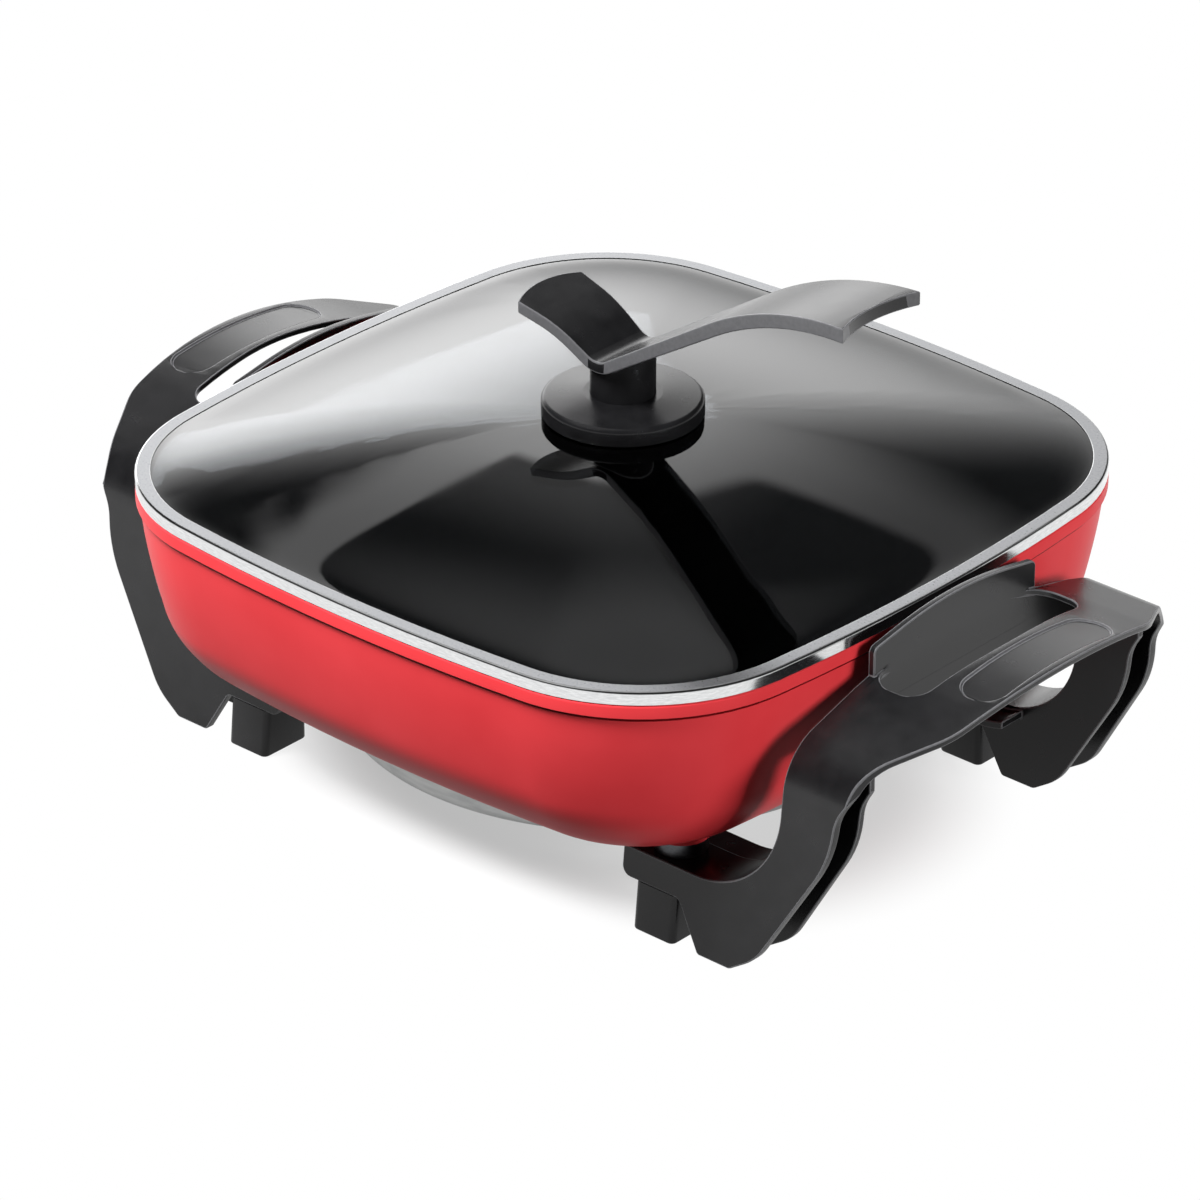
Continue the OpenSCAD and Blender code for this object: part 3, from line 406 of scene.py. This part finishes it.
# %% Copy helper
def bench_copy(source, name, flat=0.2, weld=0.000002):
    """A welded copy of a CAD node, alone selected and active; faces within flat degrees become one."""
    bpy.ops.object.select_all(action="DESELECT")
    piece = bpy.data.objects.new(name, nodes[source].data.copy())
    scene.collection.objects.link(piece)
    piece.data.name = name
    bpy.context.view_layer.objects.active = piece
    piece.select_set(True)
    bpy.ops.mesh.customdata_custom_splitnormals_clear()
    bpy.ops.object.mode_set(mode="EDIT")
    bpy.ops.mesh.select_all(action="SELECT")
    bpy.ops.mesh.remove_doubles(threshold=weld)
    if flat:
        bpy.ops.mesh.dissolve_limited(angle_limit=math.radians(flat))
    bpy.ops.object.mode_set(mode="OBJECT")
    return piece


print("pieces that need more:", len(nodes) - len(dressing))

# %% [markdown]
# Two more helpers serve every finished piece. One gives it its coats, of which the first covers it all
# until single faces are given another. The other lets the piece ride on the body of its node and stand in
# for it, with the node hidden.


# %% Coat and hand in
def coat_faces(piece, *coats):
    """Gives a piece its coats, the first of them on every face."""
    piece.data.materials.clear()
    for coat in coats:
        piece.data.materials.append(coat)
    for face in piece.data.polygons:
        face.material_index = 0


def hand_in(piece, source):
    """Lets a finished piece ride and stand in for its node."""
    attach(piece, nodes[source]["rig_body"])
    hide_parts(source)
    print(piece.name, "faces:", len(piece.data.polygons))


# %% [markdown]
# ## Moulded edges
# A press mould is cut with a small cutter, so no edge of a moulding is knife sharp: each has a radius of
# about half a millimetre. A Bevel modifier rounds every edge sharper than 30 degrees and gives the new faces
# the second coat; on the mouldings that coat is a lighter grey, a painted highlight that draws the thin light
# line round the handles. A Weighted Normal modifier keeps the flats flat beside them. Both are applied.


# %% Round the edges of a piece
def round_edges(piece, radius, sharper_than=30):
    """Rounds the sharp edges of the active piece, which take its second coat, and smooths its shading."""
    edge = piece.modifiers.new("edge_radius", "BEVEL")
    edge.width = radius
    # The bevel faces take the second coat, which on the mouldings is a painted highlight.
    edge.material = 1
    edge.segments = 2
    edge.limit_method = "ANGLE"
    edge.angle_limit = math.radians(sharper_than)
    edge.use_clamp_overlap = False
    edge.miter_outer = "MITER_ARC"
    bpy.ops.object.modifier_apply(modifier=edge.name)
    bpy.ops.object.shade_smooth_by_angle(angle=math.radians(40))
    flat = piece.modifiers.new("flat_faces", "WEIGHTED_NORMAL")
    flat.keep_sharp = True
    bpy.ops.object.modifier_apply(modifier=flat.name)


# %% [markdown]
# The handles and the knob's wing come from such a mould. Their rounded edges, and the narrow upright sides
# of the wing, take the lighter grey as a painted highlight.

# %% Handles and wing
mould_radius = 0.0006
wing_side, upright = 0.016, 0.5
for source in ("handle_right", "handle_left", "knob_wing"):
    moulding = bench_copy(source, source + "_moulding")
    coat_faces(moulding, phenolic, painted_edge_highlight)
    # The wing's narrow upright sides also take the painted highlight.
    for face in moulding.data.polygons:
        if source == "knob_wing" and abs(face.normal.z) < upright and abs(face.center.y) > wing_side:
            face.material_index = 1
    round_edges(moulding, mould_radius)
    hand_in(moulding, source)

# %% [markdown]
# ## Feet
# Each foot is a moulded block under an arm. Its front leans back with the leg, its upright corners are well
# rounded, a spigot on top sits in the arm, and a recess below takes the head of the screw. One block is
# shaped from a cube in edit mode: lean the front, bevel the corners, inset and extrude the spigot. In a
# script the parts to work on are selected by where they are, so a helper does that first.


# %% Select by place
def pick(piece, kind, test):
    """In edit mode, selects the vertices, edges or faces whose list of corners passes a test."""
    bpy.ops.mesh.select_mode(type=kind)
    bpy.ops.mesh.select_all(action="DESELECT")
    bpy.ops.object.mode_set(mode="OBJECT")
    mesh = piece.data
    for part in {"VERT": mesh.vertices, "EDGE": mesh.edges, "FACE": mesh.polygons}[kind]:
        corners = [part] if kind == "VERT" else [mesh.vertices[i] for i in part.vertices]
        part.select = test(corners)
    bpy.ops.object.mode_set(mode="EDIT")


# %% Start one foot as a block
feet_low, feet_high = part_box("feet")
front_y, outer_x, spigot_top = feet_low[1], feet_high[0], feet_high[2]
rear_y, inner_x, block_top = -0.0775, outer_x - 0.020, 0.0196
middle = ((inner_x + outer_x) / 2, (front_y + rear_y) / 2, block_top / 2)
block = (outer_x - inner_x, rear_y - front_y, block_top)
bpy.ops.object.select_all(action="DESELECT")
bpy.ops.mesh.primitive_cube_add(size=1.0, location=middle, scale=block)
foot = bpy.context.active_object
foot.name = foot.data.name = "feet_moulding"
bpy.ops.object.transform_apply(location=True, rotation=True, scale=True)
print("block in mm:", [round(side * 1000, 1) for side in block])

# %% Shape the foot
hair = 0.00001
lean, corner_radius, sole_radius = 0.00197, 0.0026, 0.0008
spigot_step, spigot_squeeze, spigot_y = 0.002, 0.7655, -0.0812
bpy.ops.object.mode_set(mode="EDIT")
pick(foot, "VERT", lambda at: at[0].co.y < front_y + hair and at[0].co.z > block_top - hair)
bpy.ops.transform.translate(value=(0, lean, 0))
pick(foot, "EDGE", lambda at: abs(at[0].co.z - at[1].co.z) > block_top / 2)
bpy.ops.mesh.bevel(offset=corner_radius, segments=5, affect="EDGES")
pick(foot, "EDGE", lambda at: all(corner.co.z < hair for corner in at))
bpy.ops.mesh.bevel(offset=sole_radius, segments=3, affect="EDGES")
pick(foot, "FACE", lambda at: all(corner.co.z > block_top - hair for corner in at))
bpy.ops.mesh.inset(thickness=spigot_step)
bpy.ops.transform.resize(value=(1, spigot_squeeze, 1), center_override=(middle[0], spigot_y, block_top))
bpy.ops.mesh.extrude_region_move(TRANSFORM_OT_translate={"value": (0, 0, spigot_top - block_top)})
bpy.ops.object.mode_set(mode="OBJECT")
print("foot faces:", len(foot.data.polygons))

# %% [markdown]
# The recess and the screw hole are round holes in a square block, which is work for a Boolean modifier: a
# cylinder is taken away from the block and then removed. A Mirror modifier puts the same block under the
# other three arms, and the normals are recalculated, because mirroring can turn a mesh inside out.

# %% Bore the foot and mirror it
screw_y = -0.085
head_recess, screw_hole = (0.0105, 0.0099), (0.0054, 0.04)
for bore, depth in (head_recess, screw_hole):
    bpy.ops.object.select_all(action="DESELECT")
    bpy.ops.mesh.primitive_cylinder_add(
        vertices=48, radius=bore / 2, depth=2 * depth, location=(middle[0], screw_y, 0)
    )
    cutter = bpy.context.active_object
    bpy.context.view_layer.objects.active = foot
    cut = foot.modifiers.new("cut", "BOOLEAN")
    cut.object, cut.operation, cut.solver = cutter, "DIFFERENCE", "EXACT"
    bpy.ops.object.modifier_apply(modifier=cut.name)
    bpy.data.objects.remove(cutter)
twins = foot.modifiers.new("other_feet", "MIRROR")
twins.use_axis = (True, True, False)
twins.use_mirror_merge = False
foot.select_set(True)
bpy.ops.object.modifier_apply(modifier=twins.name)
bpy.ops.object.mode_set(mode="EDIT")
bpy.ops.mesh.select_all(action="SELECT")
bpy.ops.mesh.normals_make_consistent(inside=False)
bpy.ops.object.mode_set(mode="OBJECT")
bpy.ops.object.shade_smooth_by_angle(angle=math.radians(40))
coat_faces(foot, phenolic)
hand_in(foot, "feet")

# %% [markdown]
# ## The collar under the knob
# The collar is a round moulding, and its section already has its radii. It only needs smooth shading: faces
# that meet at a small angle are blended, and the sharp inner edges stay.

# %% Smooth the collar
collar = bench_copy("knob_collar", "knob_collar_moulding", flat=0)
bpy.ops.object.shade_smooth_by_angle(angle=math.radians(30))
coat_faces(collar, phenolic)
hand_in(collar, "knob_collar")

# %% [markdown]
# ## The cast pan
# The wall of a cast pan is not quite straight: it swells by about a millimetre and a half between the lip
# and the bend at the foot, so its shading runs evenly from light to dark. The tall edges of the copy's
# outer wall are subdivided, and a Displace modifier, weighted to nothing at both ends, pushes the wall out.
# The copy is then shaded smooth, with only its real edges left sharp.


# %% Cut the outer wall of the pan
def outward(corner):
    """Whether a corner of the pan lies on its outside."""
    return corner.normal.x * corner.co.x + corner.normal.y * corner.co.y > 0


pan = bench_copy("pan", "pan_casting")
coat_faces(pan, red_enamel, non_stick)
tall = 0.02
bpy.ops.object.mode_set(mode="EDIT")
pick(pan, "EDGE", lambda at: abs(at[0].co.z - at[1].co.z) > tall and all(outward(corner) for corner in at))
bpy.ops.mesh.subdivide(number_cuts=7)
bpy.ops.object.mode_set(mode="OBJECT")
print("pan faces:", len(pan.data.polygons))

# %% Swell the wall
swell_foot, swell_depth = 0.056, 0.0015
wall = pan.vertex_groups.new(name="wall")
for corner in pan.data.vertices:
    part_way = (corner.co.z - swell_foot) / (lip_foot - swell_foot)
    if outward(corner) and 0 < part_way < 1:
        wall.add([corner.index], 4 * part_way * (1 - part_way), "REPLACE")
swell = pan.modifiers.new("swell", "DISPLACE")
swell.direction, swell.mid_level = "NORMAL", 0.0
swell.strength, swell.vertex_group = swell_depth, wall.name
bpy.ops.object.modifier_apply(modifier=swell.name)
pan.vertex_groups.clear()
bpy.ops.object.shade_smooth_by_angle(angle=math.radians(30))
print("swell of the wall:", swell_depth * 1000, "mm")

# %% [markdown]
# The non-stick lining is the pan's second coat. Faces that look towards the middle, or up from the floor of
# the pan, are inside and take it. The lip and everything outside it stay red.

# %% Line the pan
lining_drop, underside = 0.012, 0.046
facing_in, facing_up = -0.15, 0.3
lining_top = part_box("pan")[1][2] - lining_drop
for face in pan.data.polygons:
    from_middle = Vector((face.center.x, face.center.y, 0.0)).normalized()
    inwards = face.normal.dot(from_middle) < facing_in and face.center.z > underside
    floor_face = face.normal.z > facing_up and face.center.z < lining_top
    face.material_index = 1 if inwards or floor_face else 0
print("lined faces:", sum(face.material_index for face in pan.data.polygons))
hand_in(pan, "pan")

# %% [markdown]
# ## The steel band
# The band is a strip of stainless steel rolled round the edge of the glass. Its flat flange on top was
# blasted to a soft grey, and its folds were left polished, so they draw a bright line on each side of it.
# The edges get a radius of a fifth of a millimetre, as a fold in thin sheet has.

# %% Band
fold_radius, flange_skin, facing_up = 0.0002, 0.0001, 0.98
band = bench_copy("lid_rim", "lid_band")
coat_faces(band, metals["stainless_steel_blasted"], metals["stainless_steel_rolled_and_polished"])
band_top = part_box("lid_rim")[1][2] - flange_skin
for face in band.data.polygons:
    flange = face.normal.z > facing_up and face.center.z > band_top
    face.material_index = 0 if flange else 1
round_edges(band, fold_radius)
hand_in(band, "lid_rim")

# %% [markdown]
# ## The domed glass
# In CAD the dome is a net of flat facets, and a mirror shows every one of them. The copy's triangles are
# paired into four-sided faces and smoothed by a Subdivision Surface modifier, with the cut edge creased so
# that it stays square.

# %% Smooth the glass
glass = bench_copy("lid_glass", "lid_glass_dome", flat=0)
bpy.ops.object.mode_set(mode="EDIT")
bpy.ops.mesh.select_all(action="SELECT")
bpy.ops.mesh.tris_convert_to_quads(face_threshold=math.radians(60), shape_threshold=math.radians(60))
bpy.ops.mesh.select_all(action="DESELECT")
bpy.ops.mesh.select_mode(type="EDGE")
bpy.ops.mesh.edges_select_sharp(sharpness=math.radians(40))
bpy.ops.transform.edge_crease(value=1.0)
bpy.ops.object.mode_set(mode="OBJECT")
smooth = glass.modifiers.new("even_curve", "SUBSURF")
smooth.levels = smooth.render_levels = 2
bpy.ops.object.modifier_apply(modifier=smooth.name)
bpy.ops.object.shade_smooth_by_angle(angle=math.radians(40))
coat_faces(glass, tinted_glass)
hand_in(glass, "lid_glass")

# %% [markdown]
# ## The floor
# The pot stands on pale paper in a white studio. The floor lies a hair under the feet, so that no two faces
# share a place. Under the pan it is lit like any paper, so it keeps the soft shadow there, and about a
# hand's width from the middle it fades into plain white, as overexposed paper does. The fade is drawn out a
# little to both sides.

# %% Lay the floor
white_light = (1, 1, 1, 1)
floor_radius, floor_drop = 6.0, 0.0003
bpy.ops.object.select_all(action="DESELECT")
bpy.ops.mesh.primitive_circle_add(
    vertices=96, radius=floor_radius, fill_type="NGON", location=(0, 0, -floor_drop)
)
floor = bpy.context.active_object
floor.name = "studio_floor"
paper = bpy.data.materials.new("studio_paper_matt")
paper.use_nodes = True
floor.data.materials.append(paper)
print("floor", floor.name)

# %% Paper as the camera sees it
tree = paper.node_tree
tree.nodes.clear()
place = node(tree, "ShaderNodeTexCoord").outputs["Object"]
sideways = (0.8, 1.0, 1.0)
drawn = node(tree, "ShaderNodeVectorMath", [(0, place), (1, sideways)], operation="MULTIPLY")
distance = node(
    tree, "ShaderNodeVectorMath", [(0, drawn.outputs["Vector"])], operation="LENGTH"
).outputs["Value"]
fade = node(
    tree,
    "ShaderNodeMapRange",
    [("Value", distance), ("From Min", 0.085), ("From Max", 0.135)],
    interpolation_type="SMOOTHSTEP",
)
matt = node(tree, "ShaderNodeBsdfDiffuse", [("Color", linear("#B4B4B4"))])
glow = node(tree, "ShaderNodeEmission", [("Color", white_light), ("Strength", 0.42)])
lit = node(tree, "ShaderNodeAddShader", [(0, matt.outputs[0]), (1, glow.outputs[0])])
white = node(tree, "ShaderNodeEmission", [("Color", white_light), ("Strength", 1.0)])
pale = node(
    tree, "ShaderNodeMixShader", [(0, fade.outputs["Result"]), (1, lit.outputs[0]), (2, white.outputs[0])]
)
print("paper nodes so far:", len(tree.nodes))

# %% [markdown]
# Light Path tells what kind of ray has reached the paper. The camera sees it as above, straight or through
# the glass. Rays that light the pot from below see duller paper, because a white floor would wash the pan
# out. Mirrored rays see that paper with a glow that grows with the distance, as it does where the pan no
# longer shades it.

# %% Paper as the pot sees it
path = node(tree, "ShaderNodeLightPath").outputs
dull = node(tree, "ShaderNodeBsdfDiffuse", [("Color", linear("#4C4C4C"))])
clear_range = [("From Min", 0.10), ("From Max", 0.30), ("To Min", 0.45), ("To Max", 0.95)]
clear = node(tree, "ShaderNodeMapRange", [("Value", distance)] + clear_range).outputs["Result"]
shine = node(tree, "ShaderNodeMath", [(0, clear), (1, path["Is Glossy Ray"])], operation="MULTIPLY")
sheen = node(tree, "ShaderNodeEmission", [("Color", white_light), ("Strength", shine.outputs[0])])
bounce = node(tree, "ShaderNodeAddShader", [(0, dull.outputs[0]), (1, sheen.outputs[0])])
straight = node(
    tree,
    "ShaderNodeMath",
    [(0, path["Is Camera Ray"]), (1, path["Is Transmission Ray"])],
    operation="MAXIMUM",
)
ground = node(
    tree, "ShaderNodeMixShader", [(0, straight.outputs[0]), (1, bounce.outputs[0]), (2, pale.outputs[0])]
)
node(tree, "ShaderNodeOutputMaterial", [("Surface", ground.outputs[0])])
print("paper nodes:", len(tree.nodes))

# %% [markdown]
# ## The surroundings
# The camera sees plain white all round. Mirrors see a studio instead, which is what gives the lid its
# picture. It could be built from lit cards in the scene, but cards would also shade the pot and show in
# other views, so it is worked out in the world from the direction of a ray: how far it runs along, away and
# up, its compass bearing on the level, and how far it points across each of the three edges of a dark flag
# over the pot. A dot product with a vector square to an edge gives that last measure.

# %% Measure the direction of a ray
world = bpy.data.worlds.new("white_studio")
scene.world = world
world.use_nodes = True
tree = world.node_tree
tree.nodes.clear()
direction = node(tree, "ShaderNodeTexCoord").outputs["Generated"]
axes = node(tree, "ShaderNodeSeparateXYZ", [("Vector", direction)]).outputs
studio = {"along": axes["X"], "away": axes["Y"], "up": axes["Z"]}
level = node(tree, "ShaderNodeVectorMath", [(0, direction), (1, (1, 1, 0))], operation="MULTIPLY")
bearing = node(tree, "ShaderNodeVectorMath", [(0, level.outputs["Vector"])], operation="NORMALIZE")
studio["compass"] = node(
    tree, "ShaderNodeSeparateXYZ", [("Vector", bearing.outputs["Vector"])]
).outputs["X"]
for edge, normal in (("side", (1, -0.0925, 0)), ("rear", (-0.1, 1, 0)), ("corner", (-0.655, 1, 0))):
    plane = node(tree, "ShaderNodeVectorMath", [(0, direction), (1, normal)], operation="DOT_PRODUCT")
    studio[edge] = plane.outputs["Value"]
print("measures of a ray:", list(studio))

# %% [markdown]
# The picture itself takes dozens of small sums, one Math node each, and soft edges, one Map Range node
# each. They are written down as rows first: a name, what is done, and the numbers or earlier names that it
# is done with. SOFT is a soft edge: it takes a measure, where the edge starts and ends, and the levels
# before and after it if these aren't 0 and 1. First comes a lit wall behind the pot, brightest at its left
# end and not far above the pot. The slope of a ray, how far it runs away for each step up, says where the
# wall ends overhead. A little of its light spills under the flag.

# %% Lit wall
wall_rows = [
    ("least_up", "MAXIMUM", "up", 0.02),
    ("slope", "DIVIDE", "away", "least_up"),
    ("behind", "SOFT", "away", 0.0, 0.25),
    ("wall_left", "SOFT", "compass", -0.34, -0.80, 0.0, 4.2),
    ("wall_back", "SOFT", "slope", 0.48, 1.5),
    ("wall_foot", "SOFT", "up", -0.12, 0.27, 0.10, 1.0),
    ("wall_head", "SOFT", "up", 0.27, 0.60, 1.0, 0.43),
    ("lit_wall", "MULTIPLY", "wall_left", "wall_back", "behind", "wall_foot", "wall_head"),
    ("spill_left", "SOFT", "compass", -0.45, -0.75, 0.0, 0.38),
    ("spill_back", "SOFT", "slope", 0.55, 1.0),
    ("spill", "MULTIPLY", "spill_left", "spill_back"),
]
print("rows for the wall:", len(wall_rows))

# %% [markdown]
# Over the pot hangs the dark flag, with a straight left side, a straight back and a corner cut off between
# them. That is why the lid is pale at the back, crossed by straight edges, and nearly black in front. Light
# comes past the flag in a slit along its left side and a weaker one along its back. Below the flag hangs a
# dim box, high over the pot and to the left.

# %% Flag, slits and dim box
flag_rows = [
    ("side_edge", "SOFT", "side", -0.662, -0.660),
    ("rear_edge", "SOFT", "rear", 0.727, 0.721),
    ("corner_edge", "SOFT", "corner", 0.988, 0.965),
    ("flag", "MULTIPLY", "side_edge", "rear_edge", "corner_edge"),
    ("past_flag", "SUBTRACT", 1.0, "flag"),
    ("side_slit_out", "SOFT", "side", -0.688, -0.672, 0.0, 1.25),
    ("side_slit_in", "SOFT", "side", -0.655, -0.62, 1.0, 0.0),
    ("side_slit", "MULTIPLY", "side_slit_out", "side_slit_in"),
    ("rear_slit_out", "SOFT", "rear", 0.757, 0.735, 0.0, 0.5),
    ("rear_slit_end", "SOFT", "side", -0.66, -0.60),
    ("rear_slit", "MULTIPLY", "rear_slit_out", "rear_slit_end"),
    ("both_slits", "ADD", "side_slit", "rear_slit"),
    ("slit_height", "SOFT", "up", 0.42, 0.56),
    ("slits", "MULTIPLY", "behind", "slit_height", "both_slits"),
    ("box_height", "SOFT", "up", 0.67, 0.79, 0.0, 0.58),
    ("box_left", "SOFT", "along", 0.15, -0.2),
    ("dim_box", "MULTIPLY", "box_height", "box_left"),
]
print("rows for the flag:", len(flag_rows))

# %% [markdown]
# What hangs over the pot is then either flag or open studio, and low down all round a pale backdrop shows,
# which fades with height. One loop turns the rows into nodes. A row with more than two terms becomes a
# chain of nodes.

# %% Join the picture
joining_rows = [
    ("open_studio", "ADD", "lit_wall", "slits"),
    ("under_flag", "ADD", "spill", "dim_box"),
    ("flag_part", "MULTIPLY", "under_flag", "flag"),
    ("open_part", "MULTIPLY", "open_studio", "past_flag"),
    ("overhead", "ADD", "flag_part", "open_part"),
    ("backdrop", "SOFT", "up", 0.0, 0.32, 0.5, 0.03),
    ("mirrored", "MAXIMUM", "overhead", "backdrop"),
]
edge_sockets = ("Value", "From Min", "From Max", "To Min", "To Max")
for name, task, *terms in wall_rows + flag_rows + joining_rows:
    terms = [studio.get(term, term) for term in terms]
    if task == "SOFT":
        inputs = list(zip(edge_sockets, terms))
        soft = node(tree, "ShaderNodeMapRange", inputs, interpolation_type="SMOOTHSTEP")
        studio[name] = soft.outputs["Result"]
        continue
    total = terms[0]
    for term in terms[1:]:
        total = node(tree, "ShaderNodeMath", [(0, total), (1, term)], operation=task).outputs[0]
    studio[name] = total
print("world nodes for the picture:", len(tree.nodes))

# %% [markdown]
# Light Path sorts the rays again. Straight ones and those through the glass see white, mirrored ones the
# studio, and all others a faint even light, because the lamps do the lighting.

# %% Sort the rays
path = node(tree, "ShaderNodeLightPath").outputs
seen = node(tree, "ShaderNodeBackground", [("Color", white_light), ("Strength", 1.0)])
mirrored = node(tree, "ShaderNodeBackground", [("Color", white_light), ("Strength", studio["mirrored"])])
ambient = node(tree, "ShaderNodeBackground", [("Color", white_light), ("Strength", 0.06)])
straight = node(
    tree,
    "ShaderNodeMath",
    [(0, path["Is Camera Ray"]), (1, path["Is Transmission Ray"])],
    operation="MAXIMUM",
)
bounced = node(
    tree,
    "ShaderNodeMixShader",
    [(0, path["Is Glossy Ray"]), (1, ambient.outputs[0]), (2, mirrored.outputs[0])],
)
sky = node(
    tree, "ShaderNodeMixShader", [(0, straight.outputs[0]), (1, bounced.outputs[0]), (2, seen.outputs[0])]
)
node(tree, "ShaderNodeOutputWorld", [("Surface", sky.outputs[0])])
print("world", world.name, "nodes:", len(tree.nodes))

# %% [markdown]
# ## Lamps
# Three soft boxes light the pot: a large key high in front and a little to the left, a weaker fill from the
# right, and a box behind on the left that lights the far handle. An area lamp spreads its light evenly and
# gives soft shadows. The world already holds what mirrors see, so the lamps are hidden from glossy rays.


# %% Soft boxes
def soft_box(name, place, aim, width, height, power):
    """A rectangular area lamp at a place, aimed at a point."""
    lamp = bpy.data.lights.new(name, "AREA")
    lamp.shape = "RECTANGLE"
    lamp.size, lamp.size_y, lamp.energy = width, height, power
    box = bpy.data.objects.new(name, lamp)
    scene.collection.objects.link(box)
    box.location = place
    box.rotation_euler = (Vector(aim) - Vector(place)).to_track_quat("-Z", "Y").to_euler()
    box.visible_glossy = False


soft_box("key_box", place=(-0.65, -1.5, 2.65), aim=(0, 0, 0.05), width=1.2, height=1.2, power=310)
soft_box("fill_box", place=(2.1, 0.2, 0.7), aim=(0, 0, 0.08), width=0.8, height=0.8, power=44)
soft_box("rear_box", place=(-1.7, 1.4, 0.9), aim=(0, 0, 0.12), width=0.9, height=0.7, power=24)
print("lamps:", [lamp.name for lamp in bpy.data.lights])
